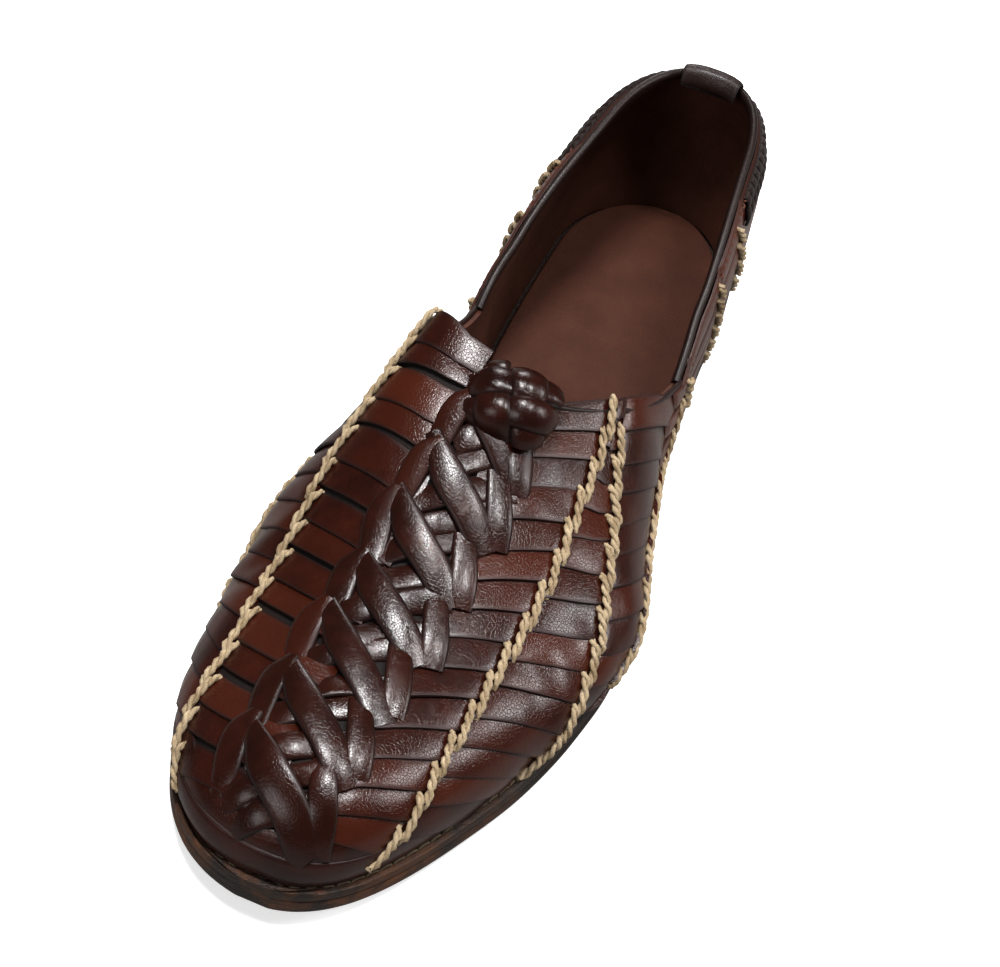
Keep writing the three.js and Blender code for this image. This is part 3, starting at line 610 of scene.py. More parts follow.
# Painted shade: the wall's outside is near-black so that the gaps between the straps read as shadow.
wallPaintedShade = leather("wall_leather_shadow", dark=(0.005, 0.0025, 0.002), mid=(0.012, 0.005, 0.0034),
                      bright=(0.02, 0.007, 0.0045), rough=0.65, coat=0.0)
liningLeather = leather("lining_leather", dark=(0.05, 0.0145, 0.0072), mid=(0.1, 0.032, 0.0155),
                        bright=(0.13, 0.043, 0.021), rough=0.55, coat=0.0, grainScale=0.8, streaks=0.2)


def hempMaterial():
    look = dict(pale=(0.66, 0.53, 0.36), deep=(0.3, 0.21, 0.12), rough=0.85, specular=0.25,
                fibres=2600.0, patches=260.0, darkest=0.12, contrast=4.2, relief=0.0005)
    material, tree, shader = newMaterial("hemp_cord_waxed")
    spot = objectSpot(tree)
    fibres = noise(tree, spot, look["fibres"], 5.0, 0.7)
    mask = times(tree, fibres, noise(tree, spot, look["patches"], 3.0))
    mask = times(tree, mathNode(tree, "SUBTRACT", mask, look["darkest"]), look["contrast"], clamp=True)
    tree.links.new(blendColour(tree, mask, look["deep"], look["pale"]), shader.inputs["Base Color"])
    shader.inputs["Roughness"].default_value = look["rough"]
    shader.inputs["Specular IOR Level"].default_value = look["specular"]
    addRelief(tree, shader, fibres, look["relief"], 1.0)
    return material


# Edge-dressed sole leather: layers along the edge, worn orange where the toe scuffs.
def soleMaterial(name, worn):
    look = dict(dressed=(0.011, 0.0065, 0.005), plain=(0.025, 0.0135, 0.0092), scuff=(0.15, 0.055, 0.018),
                stretch=0.12, layers=900.0, layerDepth=2.2, patches=70.0, toeFrom=0.06, toeRamp=14.0,
                wearFrom=0.45, wearRamp=6.0, wearElsewhere=0.06, layerWear=1.9, rough=0.34,
                patchRough=0.35, grain=0.7, creases=0.6, relief=0.00022, strength=0.9)
    material, tree, shader = newMaterial(name)
    spot = objectSpot(tree)
    parts = addNode(tree, "ShaderNodeSeparateXYZ", {0: spot})
    flat = addNode(tree, "ShaderNodeCombineXYZ", {0: times(tree, parts.outputs[0], look["stretch"]),
                                                  1: times(tree, parts.outputs[1], look["stretch"]),
                                                  2: parts.outputs[2]})
    layers = noise(tree, flat.outputs[0], look["layers"], 4.0)
    patches = noise(tree, spot, look["patches"], 6.0, 0.65)
    skin = placeGroup(tree, grain, {"Scale": look["grain"], "Creases": look["creases"]})
    body = blendColour(tree, times(tree, layers, 1.1, clamp=True), look["dressed"], look["plain"])
    toe = mathNode(tree, "SUBTRACT", parts.outputs[0], look["toeFrom"])
    toe = times(tree, toe, look["toeRamp"], clamp=True)
    wear = mathNode(tree, "SUBTRACT", patches, look["wearFrom"])
    wear = times(tree, wear, look["wearRamp"], clamp=True)
    wear = times(tree, wear, plus(tree, times(tree, toe, worn), look["wearElsewhere"]))
    wear = times(tree, wear, times(tree, layers, look["layerWear"]), clamp=True)
    tree.links.new(blendColour(tree, wear, body, look["scuff"]), shader.inputs["Base Color"])
    rough = plus(tree, times(tree, patches, look["patchRough"]), look["rough"])
    tree.links.new(rough, shader.inputs["Roughness"])
    height = plus(tree, skin.outputs["Height"], times(tree, layers, look["layerDepth"]))
    addRelief(tree, shader, height, look["relief"], look["strength"])
    return material


hemp = hempMaterial()
soleEdge = soleMaterial("sole_leather_edge", 0.95)
weltEdge = soleMaterial("welt_leather_edge", 0.6)
print("materials made")

# The straps: where their edges cross the braid, the two rows of cord, and the parting or
# the sole, as places along the shoe and shares out from the crest.
strapColumns = ("number", "braidX", "braidOut", "rowOneX", "rowOneOut",
                "rowTwoX", "rowTwoOut", "endX", "endOut")
strapTables = {
    1: (
        (0, 160, 0.14, 137, 0.42, 133, 0.46, 103, 0.74),
        (2, 172, 0.15, 153, 0.45, 149, 0.52, 117, 0.84),
        (4, 188, 0.15, 172, 0.43, 164, 0.57, 138, 0.82),
        (6, 205, 0.15, 190, 0.43, 180, 0.61, 159, 0.815),
        (8, 221, 0.15, 209, 0.44, 196, 0.7, 179, 0.835),
        (10, 241, 0.15, 227, 0.475, 211, 0.81, 197, 0.89),
        (12, 262, 0.15, 246, 0.545, 223, 0.95, 215, 0.985),
        (14, 278, 0.15, 262, 0.68, 238, 0.985, 236, 0.99),
        (16, 285.3, 0.15, 279, 0.93, 270, 0.985, 269, 0.99),
    ),
    -1: (
        (0, 149, 0.02, 140, 0.24, 133, 0.44, 103, 0.74),
        (2, 162, 0.04, 156, 0.3, 148, 0.57, 115, 0.84),
        (4, 180, 0.08, 171, 0.4, 163, 0.68, 130, 0.87),
        (6, 199, 0.12, 188, 0.48, 178, 0.77, 148, 0.91),
        (8, 216, 0.15, 204, 0.55, 192, 0.85, 168, 0.95),
        (10, 235, 0.15, 222, 0.6, 208, 0.92, 194, 0.98),
        (12, 256, 0.15, 244, 0.64, 222, 0.96, 216, 0.985),
        (14, 275, 0.15, 263, 0.76, 239, 0.985, 237, 0.99),
        (16, 285.3, 0.15, 279, 0.9, 270, 0.985, 269, 0.99),
    ),
}


# The place and share out of strap line `number` at a way along it: 0 at the braid, 1 and 2
# at the rows of cord, 3 at its end.
def strapLine(side, number, way):
    number, way = np.broadcast_arrays(np.asarray(number, float), np.asarray(way, float))
    i = np.clip(np.floor(way).astype(int), 0, 2)
    t = way - i
    u = 1 - t
    found = []
    for kind in ("X", "Out"):
        columns = [strapColumns.index(place + kind) for place in ("braid", "rowOne", "rowTwo", "end")]
        values = np.stack([readTable(strapTables[side], column, number) for column in columns])

        def pick(k):
            return np.take_along_axis(values, np.clip(k, 0, 3)[None], 0)[0]
        a, b = pick(i), pick(i + 1)
        slopeA = (b - pick(i - 1)) / np.where(i > 0, 2, 1)
        slopeB = (pick(i + 2) - a) / np.where(i < 2, 2, 1)
        found.append(u * u * (1 + 2 * t) * a + t * t * (3 - 2 * t) * b
                     + t * u * u * slopeA - t * t * u * slopeB)
    return np.clip(found[0], heelX, toeX), side * np.clip(found[1], 0, 0.995)


# Courses of side straps: the way from, the way to, how far their numbers are set back, how many.
vampStraps = dict(courses=((-0.12, 1.0, 0.0, 15), (1.0, 2.0, 0.5, 15), (2.0, 3.0, 0.0, 12)),
                  lastLine=16, toSoleFrom=11, shortest=0.3, thickness=1.2, crown=0.14, roll=0.045,
                  lowEdge=0.25, highEdge=1.15, overlap=0.1, pairGap=0.13, endDip=0.6, dipReach=0.13,
                  wobble=0.05, bow=0.14, lean=0.22, tuck=0.05, tuckReach=0.15, sunkCourse=0.15, steps=14)


def sideStraps():
    build = newBuild()
    look = vampStraps
    lastLine = look["lastLine"]
    for side in (-1, 1):
        for wayFrom, wayTo, offset, count in look["courses"]:
            for k in range(count):
                numberFrom = max(0.0, k - offset)
                wayEnd = 3.0 if wayFrom == 1 and k >= look["toSoleFrom"] else wayTo
                openPair = side < 0 and wayFrom < 1 and k % 2 == 1
                numberTo = min(lastLine, k + 1 - offset + (-look["pairGap"] if openPair else look["overlap"]))
                if numberTo - numberFrom < look["shortest"]:
                    continue
                wobble = rng.normal(0, look["wobble"], 4)
                bow, lean = rng.normal(0, look["bow"]), rng.normal(0, look["lean"])

                def place(t, s):
                    low = numberFrom + wobble[0] * t
                    high = numberTo + wobble[1] * t + wobble[2] * (1 - t)
                    number = np.clip(mix(low, high, s), 0, lastLine)
                    x, out = strapLine(side, number, mix(max(0, wayFrom), wayEnd, t))
                    if wayFrom < 0:
                        out = out - side * look["tuck"] * (1 - np.clip(t / look["tuckReach"], 0, 1))
                    return onForm(x, out)

                def lift(t, s):
                    reach = look["dipReach"]
                    ends = np.clip(1 - t / reach, 0, 1) ** 2 + np.clip(1 - (1 - t) / reach, 0, 1) ** 2
                    tilt = mix(look["lowEdge"] - lean, look["highEdge"] + lean, s)
                    sunk = look["sunkCourse"] if wayFrom > 1 else 0
                    return tilt - look["endDip"] * ends + bow * np.sin(math.pi * t) - sunk
                addStrap(build, place, lift, look["thickness"], look["crown"], look["steps"],
                         roll=look["roll"])
    return finishMesh("vamp_straps", build, [strapLeather])


# The tip of the toe is closed by straps that run round it above the welt. Each has its lower
# and upper edge over the feather, its lift off the form, and the place where its ends lie.
toeWraps = dict(bands=((7.6, 13.6, 0.7, 252.0), (0.2, 8.6, 1.15, 243.0)), bendPower=2.2, narrowFrom=0.75,
                narrowed=0.55, endDrop=0.9, crestFrom=250.0, crestSteps=500, thickness=1.2, crown=0.25,
                steps=56)


def toeStraps():
    build = newBuild()
    look = toeWraps
    xs = np.linspace(look["crestFrom"], toeX, look["crestSteps"])
    rises = onForm(xs, 0)[0][:, 2] - featherAt(xs)
    for low, high, lifted, fromX in look["bands"]:
        def place(t, s):
            reach = np.abs(2 * t - 1)
            farX = np.interp(-mix(low, high, s), -rises, xs)
            x = farX - (farX - fromX) * reach ** look["bendPower"]
            top = mix(high, low, look["narrowed"] * ease(look["narrowFrom"], 1, reach))
            side = np.where(t < 0.5, -1, 1)
            return onForm(x, side * np.abs(outAtHeight(x, side, featherAt(x) + mix(low, top, s))))

        def lift(t, s):
            return lifted - look["endDrop"] * np.abs(2 * t - 1) ** 5
        addStrap(build, place, lift, look["thickness"], look["crown"], look["steps"], tone=0.5 * rng.random())
    return finishMesh("toe_straps", build, [strapLeather])


# The braid down the middle. Long glossy straps cross it from the inner to the outer edge,
# leaves run along its inner edge and short straps along its outer edge. (x, y) on the last.
braid = dict(
    diagonals=(((159, -8), (174, 9)), ((176, -12), (193, 10)), ((191, -15), (210, 8)), ((209, -16), (228, 7)),
               ((224, -18), (247, 6)), ((243, -20), (266, 5)), ((264, -20), (281, 2))),
    leaves=(((162, -9), (176, -12)), ((176, -12), (191, -15)), ((190, -17), (208, -14)),
            ((207, -18), (225, -17)),
            ((222, -21), (241, -20)), ((241, -22), (261, -21)), ((259, -23), (275, -22))),
    shorts=(((163, 6), (177, 12)), ((178, 7), (192, 13)), ((196, 6), (210, 11)), ((213, 6), (228, 11)),
            ((228, 3), (245, 8)), ((248, 1), (264, 7)), ((267, 0), (280, 5))),
    diagonalWidths=(6.8, 8.4, 8.4, 7.4), leafWidths=(5.6, 7.4, 6.0), shortWidths=(5.8, 7.0, 6.2),
    crossWidth=7.0, crossings=2, crossReach=14, crossLift=(0.75, 0.95), crossWave=0.5, crossLean=1.5,
    toeEnd=284, thickness=1.15, crown=0.36, roll=0.1, lean=0.95,
)


def braidStraps():
    build = newBuild()
    look = braid
    toeEnd = look["toeEnd"]

    def lay(route, width, lift, steps, toneFrom, toneSpread, pointed=(1.0, 1.0), leanBy=1.0):
        lean = leanBy * rng.uniform(-look["lean"], look["lean"])
        addStrap(build, planRoute(route, width, pointed), lambda t, s: lift(t) + lean * (s - 0.5),
                 look["thickness"], look["crown"], steps, toneFrom + toneSpread * rng.random(), look["roll"])

    def crossLift(high, phase):
        return lambda t: high + look["crossWave"] * np.sin(phase + 9 * t)

    def shortLift(t):
        return 0.5 + 1.75 * np.sin(math.pi * mix(0.12, 0.88, t))

    def leafLift(t):
        return 2.1 - 1.5 * t + 0.5 * np.sin(math.pi * t)

    def diagonalLift(t):
        return 0.7 + 2.1 * np.sin(math.pi * mix(0.14, 0.95, t)) ** 0.9

    for (ax, ay), (ex, ey) in look["diagonals"]:
        for k in range(look["crossings"]):
            bx = ax + 1 + (ex - ax) * k / look["crossings"]
            far = min(toeEnd, bx + look["crossReach"])
            route = [(bx, ey + 1.5), (mix(bx, far, 0.5), mix(ey, ay, 0.5)), (far, ay + 0.5)]
            high = mix(*look["crossLift"], rng.random())
            phase = rng.random() * 3
            width = look["crossWidth"] * mix(0.85, 1.1, rng.random())
            lay(route, width, crossLift(high, phase), 16, 0.0, 0.55, leanBy=look["crossLean"])
    for (ax, ay), (ex, ey) in look["shorts"]:
        route = [(ax - 3, ay - 1.5), (mix(ax, ex, 0.5), mix(ay, ey, 0.55)),
                 (min(toeEnd - 1, ex + 1), ey + 0.5)]
        lay(route, look["shortWidths"], shortLift, 16, 0.0, 0.6)
    for leaf, diagonal in reversed(list(zip(look["leaves"], look["diagonals"]))):
        (ax, ay), (ex, ey) = leaf
        route = [(ax - 2, ay + 1.5), (mix(ax, ex, 0.35), mix(ay, ey, 0.3) - 0.8),
                 (min(toeEnd - 2, ex + 3), ey + 0.5)]
        lay(route, look["leafWidths"], leafLift, 18, 0.25, 0.6, pointed=(0.55, 0.9))
        (ax, ay), (ex, ey) = diagonal
        route = [(ax - 3, ay - 1.5), (mix(ax, ex, 0.34), mix(ay, ey, 0.3)),
                 (mix(ax, ex, 0.72), mix(ay, ey, 0.7)), (min(toeEnd, ex + 2), ey + 1.5)]
        lay(route, look["diagonalWidths"], diagonalLift, 22, 0.0, 0.35, pointed=(0.6, 1.0))
    return finishMesh("braid", build, [sheenLeather])


# The braided knob over the throat: two sets of fat straps plaited over a dome.
knob = dict(length=23.0, width=27.0, height=9.0, spacing=0.72, strap=0.72, rise=1.0, sink=0.4, rim=0.97,
            tuckUnder=0.9, reachShare=0.85, slopeStep=8.0, thickness=1.6, crown=0.55, roll=0.22, turn=1.13,
            steps=22)


def throatKnob():
    build = newBuild()
    look = knob
    low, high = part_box("throat_knot")
    middle = np.array([(low.x + high.x) / 2, (low.y + high.y) / 2, 0]) / mm - shift
    base, _ = onForm(middle[0], outAtY(middle[0], middle[1]))
    ahead, _ = onForm(middle[0] + look["slopeStep"], outAtY(middle[0] + look["slopeStep"], middle[1]))
    slope = math.atan2(ahead[2] - base[2], look["slopeStep"])
    radii = np.array([look["length"], look["width"], 2 * look["height"]]) / 2

    def turned(vectors):
        x, y, z = np.moveaxis(vectors, -1, 0)
        c, sn = math.cos(slope), math.sin(slope)
        return np.stack([x * c - z * sn, y, x * sn + z * c], -1)

    for angle in (look["turn"] - math.pi / 4, look["turn"] + math.pi / 4):
        for k in (-0.5, 0.5):
            centre = k * look["spacing"]
            reach = math.sqrt(1 - (abs(centre) * look["reachShare"]) ** 2)

            def place(t, s):
                way = (2 * t - 1) * reach
                off = centre + (s - 0.5) * look["strap"]
                u = way * math.cos(angle) - off * math.sin(angle)
                v = way * math.sin(angle) + off * math.cos(angle)
                far = np.hypot(u, v)
                held = np.minimum(1, look["rim"] / np.maximum(far, 1e-6))
                u, v = u * held, v * held
                up = np.sqrt(1 - u * u - v * v) - look["tuckUnder"] * np.maximum(0, far - look["rim"])
                normals = np.stack([u, v, np.maximum(up, 0.05)], -1) / radii
                return turned(np.stack([u, v, up], -1) * radii) + base, turned(unit(normals))

            def lift(t, s):
                way = (2 * t - 1) * reach
                return look["rise"] * np.cos(math.pi * (way / look["spacing"] + k)) - look["sink"]
            addStrap(build, place, lift, look["thickness"], look["crown"], look["steps"], 0.45 * rng.random(),
                     look["roll"])
    return finishMesh("throat_knot_braided", build, [sheenLeather])


# Rows of cord: each stitch rises out of the leather, runs over a strap and dips again.
cord = dict(strand=0.66, spread=0.56, turn=6.6, rise=2.2, sink=-0.3, overlap=0.3, setBack=0.12,
            fullness=1.7, wander=0.12, points=13)


def addStitches(build, route, count, slant, rise):
    look = cord
    for k in range(count):
        t = np.linspace(k - look["setBack"], k + 1 + look["overlap"], look["points"]) / count
        way = np.linspace(0, 1, look["points"])
        points, normals = route(np.clip(t, 0, 1))
        side = np.cross(normals, unit(np.gradient(points, axis=0)))
        height = np.minimum(1, np.sin(math.pi * mix(0.04, 0.96, way)) * look["fullness"])
        height = mix(look["sink"], rise, height)
        drift = (way - 0.5) * slant * 2 + rng.normal(0, look["wander"])
        centres = points + normals * height[:, None] + side * drift[:, None]
        addTwist(build, centres, normals, look["strand"] * mix(0.93, 1.07, rng.random()), look["spread"],
                 look["turn"] * mix(0.9, 1.15, rng.random()), rng.random() * 6)


def vampCordRoute(side, way, first, last):
    def route(t):
        x, out = strapLine(side, mix(first, last, t), way)
        return onForm(x, out)
    return route


# Cord rows of the vamp: the way of the strap lines, the numbers they run between, how many
# stitches, and their slant. Columns of the quarter: place and share of its height at the top
# and at the bottom, and how many stitches.
vampCordRows = {
    "vamp_row_1": (1.0, 0.02, 15.4, 15, 1.7),
    "vamp_row_2": (2.0, 0.9, 12.6, 12, 1.7),
    "parting": (3.0, 0.05, 9.6, 9, 1.2),
}
quarterCordRows = {
    "column_front": (100.0, 0.92, 91.0, 0.3, 4),
    "column_middle": (72.5, 0.93, 68.0, 0.16, 6),
    "column_rear": (54.0, 0.93, 48.0, 0.34, 4),
}
quarterCord = dict(slant=1.6, rise=2.7)


def quarterCordRoute(side, fromX, fromRise, toX, toRise):
    def route(t):
        x = mix(fromX, toX, t)
        height = mix(featherAt(x), topLineAt(x), mix(fromRise, toRise, t))
        return onForm(x, outAtHeight(x, side, height))
    return route


def hempCords():
    for side, word in ((-1, "inner"), (1, "outer")):
        rows = {}
        for name, (way, first, last, count, slant) in vampCordRows.items():
            rows[name] = (vampCordRoute(side, way, first, last), count, slant, cord["rise"])
        for name, (*places, count) in quarterCordRows.items():
            rows[name] = (quarterCordRoute(side, *places), count, quarterCord["slant"], quarterCord["rise"])
        for name, (route, count, slant, rise) in rows.items():
            build = newBuild()
            addStitches(build, route, count, slant * side, rise)
            piece = finishMesh(f"{name}_{word}_hemp", build, [hemp])
            settle(piece, [f"{name}_{word}"], angle=80)


# The quarter: straps slit out of the counter leather, and the smooth counter behind them.
quarter = dict(straps=5, gap=0.1, thickness=1.35, crown=0.32, counterX=50.0, lap=2.0, middle=(70.0, 71.5),
               front=(95.0, 98.5), frontEnd=112.0, frontStep=7.0, rearTilt=0.35, frontTilt=0.1, lift=0.95,
               endDip=0.7, bow=0.25, steps=16, counterTop=0.985, counterLift=0.55, counterThickness=1.2,
               counterSteps=60)


def quarterPlace(side, x0, x1, rise0, rise1):
    def place(t, s):
        x = mix(x0, x1, t)
        height = mix(featherAt(x), topLineAt(x), mix(rise0, rise1, s))
        return onForm(x, outAtHeight(x, side, height))
    return place


def quarterPieces():
    build = newBuild()
    look = quarter
    for side in (-1, 1):
        for k in range(look["straps"]):
            low = (k + look["gap"] / 2) / look["straps"]
            high = (k + 1 - look["gap"] / 2) / look["straps"]
            frontEnd = look["frontEnd"] + look["frontStep"] * (look["straps"] - 1 - k)
            stretches = ((look["counterX"] - look["lap"], look["middle"][1], look["rearTilt"]),
                         (look["middle"][0], look["front"][1], look["frontTilt"]),
                         (look["front"][0], frontEnd, look["frontTilt"]))
            for x0, x1, tilt in stretches:
                def lift(t, s):
                    ends = np.clip(1 - t / 0.12, 0, 1) ** 2 + np.clip(1 - (1 - t) / 0.1, 0, 1) ** 2
                    return look["lift"] - tilt * s - look["endDip"] * ends + look["bow"] * np.sin(math.pi * t)
                addStrap(build, quarterPlace(side, x0, x1, low, high), lift, look["thickness"], look["crown"],
                         look["steps"])
    straps = finishMesh("quarter_straps", build, [counterLeather])
    build = newBuild()
    for side in (-1, 1):
        addStrap(build, quarterPlace(side, heelX, look["counterX"], 0.0, look["counterTop"]),
                 lambda t, s: look["counterLift"] + 0 * t, look["counterThickness"], 0.0,
                 look["counterSteps"], tone=0.45, roll=0.02)
    counter = finishMesh("counter", build, [counterLeather])
    return straps, counter


# Short rolled loops fill the waist between the parting and the sole.
loops = dict(count=11, low=0.35, high=0.62, slide=-7.0, lift=0.6, bow=0.5, tilt=0.4, crown=1.0,
             thickness=1.6, roll=0.2)


def waistLoops():
    build = newBuild()
    look = loops
    for side in (-1, 1):
        for k in range(look["count"]):
            def place(t, s):
                number = np.clip(mix(k - look["low"], k + look["high"], s), 0, look["count"])
                x, out = strapLine(side, number, 3.0)
                return onForm(x + look["slide"] * t, side * mix(np.abs(out) - 0.01, 0.99, t))

            def lift(t, s):
                return look["lift"] + look["bow"] * np.sin(math.pi * t) + look["tilt"] * s
            addStrap(build, place, lift, look["thickness"], look["crown"], roll=look["roll"])
    return finishMesh("waist_loops", build, [strapLeather])


# The wall under the straps: painted near-black outside as painted shade in the gaps between the straps, lined
# inside, open at the collar and underneath.
wallSteps = dict(heel=18, heelLength=12.0, body=150, toeFrom=270.0, toe=26, up=30, outside=0.15, tone=0.3)


def upperWall():
    look = wallSteps
    heelEnd, toeFrom = heelX + look["heelLength"], look["toeFrom"]
    throat = lastSizes["throat"] * lastSizes["length"]
    xs = np.concatenate([np.linspace(heelX, heelEnd, look["heel"])[:-1],
                         np.linspace(heelEnd, toeFrom, look["body"])[:-1],
                         toeX - (toeX - toeFrom) * np.linspace(1, 0, look["toe"]) ** 2])
    rises = np.linspace(0, 1, look["up"])
    rows, ring = len(xs), len(rises)
    build = newBuild()
    start = {}
    for level, height in (("outer", look["outside"]), ("inner", -lastSizes["wall"])):
        for side in (-1, 1):
            topOut = np.abs(outAtHeight(xs, side, topLineAt(xs)))
            topOut = np.where(xs > throat, 0.0, topOut)
            out = side * mix(0.995, topOut[:, None], rises[None])
            points, normals = onForm(np.broadcast_to(xs[:, None], out.shape), out)
            start[level, side] = len(start) * rows * ring
            build["verts"].append((points + normals * height).reshape(-1, 3))
    slots = []

    def face(quad, slot):
        build["faces"].append(quad)
        slots.append(slot)
    for (level, side), first in start.items():
        slot = 0 if level == "outer" else 1
        for i in range(rows - 1):
            for j in range(ring - 1):
                a = first + i * ring + j
                quad = (a, a + 1, a + ring + 1, a + ring)
                face(quad if (slot == 0) == (side > 0) else quad[::-1], slot)
    for level, slot in (("outer", 0), ("inner", 1)):
        for i, turned in ((0, False), (rows - 1, True)):
            for j in range(ring - 1):
                a, b = start[level, -1] + i * ring + j, start[level, 1] + i * ring + j
                quad = (a, a + 1, b + 1, b)
                face(quad[::-1] if turned else quad, slot)
    for side in (-1, 1):
        for i in range(rows - 1):
            for j in ((0, ring - 1) if xs[i] < throat else (0,)):
                a, b = start["outer", side] + i * ring + j, start["inner", side] + i * ring + j
                face((a, a + ring, b + ring, b), 1)
    total = 4 * rows * ring
    build["edge"] = [np.zeros(total)]
    build["tone"] = [np.full(total, look["tone"])]
    build["along"] = [np.zeros(total)]
    return finishMesh("upper_wall", build, [wallPaintedShade, liningLeather], slots)


# Points round the top line, from one corner round the heel to the other, dropped below it.
def roundHeel(drop, height, endX=105.0, count=160):
    xs = mix(heelX, endX, np.linspace(0, 1, count) ** 2)
    sides = {}
    for side in (-1, 1):
        points, normals = onForm(xs, outAtHeight(xs, side, collarAt(xs) - drop))
        sides[side] = (points + normals * height, normals)
    points = np.concatenate([sides[-1][0][::-1], sides[1][0]])
    normals = np.concatenate([sides[-1][1][::-1], sides[1][1]])
    return points, normals


def evenly(points, normals, count):
    length = lengthAlong(points)
    wanted = np.linspace(0, length[-1], count)
    spread = [np.stack([np.interp(wanted, length, values[:, c]) for c in range(3)], 1)
              for values in (points, normals)]
    return spread[0], spread[1]


def softened(points, passes):
    for _ in range(passes):
        inside = (points[:-2] + 2 * points[1:-1] + points[2:]) / 4
        points = np.concatenate([points[:1], inside, points[-1:]])
    return points


binding = dict(above=0.4, sunk=-0.55, points=240, passes=6, radius=1.25, tall=1.35,
               vampFrom=104.0, vampTo=157.5, vampPoints=50, vampLift=0.35, vampRadius=0.85, vampTall=1.1,
               stitchEvery=2.6, stitchDrop=3.2, stitchLift=1.9, thread=0.28)
stitchEnds = np.array([0.6, 0.1, 0, 0.1, 0.6])  # how deep a stitch of five points lies in the leather


def collarBinding():
    build = newBuild()
    look = binding
    points, normals = roundHeel(-look["above"], look["sunk"])
    points, normals = evenly(points, normals, look["points"])
    addTube(build, softened(points, look["passes"]), look["radius"], sides=14, tone=0.2,
            flatness=look["tall"])
    # the top edge of the vamp, from each corner to the throat
    for side in (-1, 1):
        xs = np.linspace(look["vampFrom"], look["vampTo"], look["vampPoints"])
        edge, edgeNormals = onForm(xs, outAtHeight(xs, side, topLineAt(xs)))
        addTube(build, softened(edge + edgeNormals * look["vampLift"], 3), look["vampRadius"], sides=12,
                tone=0.4, flatness=look["vampTall"])
    hem = finishMesh("collar_hem", build, [bindingLeather])
    build = newBuild()
    points, normals = roundHeel(look["stitchDrop"], look["stitchLift"], endX=100)
    count = int(lengthAlong(points)[-1] / look["stitchEvery"])
    points, normals = evenly(points, normals, count * 6 + 1)
    for k in range(0, len(points) - 5, 6):
        bit = points[k:k + 5] - normals[k:k + 5] * stitchEnds[:, None]
        addTube(build, bit, look["thread"], sides=6, tone=0.6)
    stitches = finishMesh("collar_stitches", build, [threadBrown])
    return hem, stitches


def plainThread(name, colour):
    look = dict(twist=1900.0, shade=0.45, light=1.4, rough=0.7, relief=0.0003)
    material, tree, shader = newMaterial(name)
    twist = noise(tree, objectSpot(tree), look["twist"], 3.0)
    shade, light = ([part * share for part in colour] for share in (look["shade"], look["light"]))
    tree.links.new(blendColour(tree, twist, shade, light), shader.inputs["Base Color"])
    shader.inputs["Roughness"].default_value = look["rough"]
    addRelief(tree, shader, twist, look["relief"], 1.0)
    return material


threadBrown = plainThread("thread_red_brown", (0.13, 0.04, 0.02))
threadGrey = plainThread("thread_welt_grey", (0.2, 0.155, 0.1))

# Two rows of narrow close lacing bind the top of the counter.
heelLacing = dict(rows=2, spacing=3.1, tall=5.2, firstDrop=4.4, rowStep=0.1, endX=51.0, perLace=4,
                  wide=4.2, slant=1.6, lift=1.1, bow=0.75, tilt=0.3, thickness=1.0, crown=0.4, roll=0.2)


def heelBand():
    build = newBuild()
    look = heelLacing

    def pick(values, column):
        return np.stack([np.interp(column, np.arange(len(values)), values[:, c]) for c in range(3)], -1)

    def lift(t, s):
        return look["lift"] + look["bow"] * np.sin(math.pi * mix(0.05, 0.95, t)) + look["tilt"] * s

    for row in range(look["rows"]):
        drop = look["firstDrop"] + look["tall"] * (row + look["rowStep"])
        top, topNormals = roundHeel(drop - look["tall"] / 2, 0.0, look["endX"])
        low, lowNormals = roundHeel(drop + look["tall"] / 2, 0.0, look["endX"])
        count = int(lengthAlong(top)[-1] / look["spacing"])
        top, topNormals = evenly(top, topNormals, count * look["perLace"] + 9)
        low, lowNormals = evenly(low, lowNormals, count * look["perLace"] + 9)
        for k in range(count):
            def place(t, s):
                column = look["perLace"] * k + look["wide"] * s + look["slant"] * (t if row else 1 - t)
                points = mix(pick(top, column), pick(low, column), t[..., None])
                return points, mix(pick(topNormals, column), pick(lowNormals, column), t[..., None])
            addStrap(build, place, lift, look["thickness"], look["crown"], steps=8, roll=look["roll"],
                     tone=0.4 * rng.random())
    return finishMesh("heel_lacing", build, [bindingLeather])


# Across the back of the heel at one height: the place along for a distance off its middle.
def backPlace(y, z):
    xs = mix(heelX, 40, np.linspace(0, 1, 80) ** 2)
    found = np.zeros(np.shape(y) + (3,))
    normal = np.zeros(np.shape(y) + (3,))
    for index in np.ndindex(np.shape(y)):
        side = -1 if y[index] < 0 else 1
        ends = [onForm(heelX, outAtHeight(heelX, way, z[index]))[0][1] for way in (-1, 1)]
        middle = sum(ends) / 2
        points, normals = onForm(xs, outAtHeight(xs, side, np.full(xs.shape, z[index])))
        offset = (points[:, 1] - middle) * side
        keep = np.argmax(offset) + 1
        away = abs(y[index])
        found[index] = (np.interp(away, offset[:keep], points[:keep, 0]), middle + y[index], z[index])
        normal[index] = [np.interp(away, offset[:keep], normals[:keep, c]) for c in range(3)]
    # near the middle the back faces straight to the rear
    normal[..., 0] = np.minimum(normal[..., 0], -0.75)
    normal[..., 1] *= np.clip(np.abs(y) / 6, 0, 1)
    return found, unit(normal)


backStrip = dict(width=14.0, low=18.5, high=66.0, lowWide=1.1, highWide=0.9, lift=1.5, thickness=1.3,
                 tabWidth=17.0, tabLow=61.0, tabHigh=77.0, tabFold=0.72, foldReach=4.6, foldSlide=1.2,
                 foldRise=2.6, foldDrop=5.0, tabLift=2.2, tabPress=0.9, inset=1.4, stitchEvery=2.7,
                 stitchLong=1.9, stitchLift=2.2, thread=0.27)


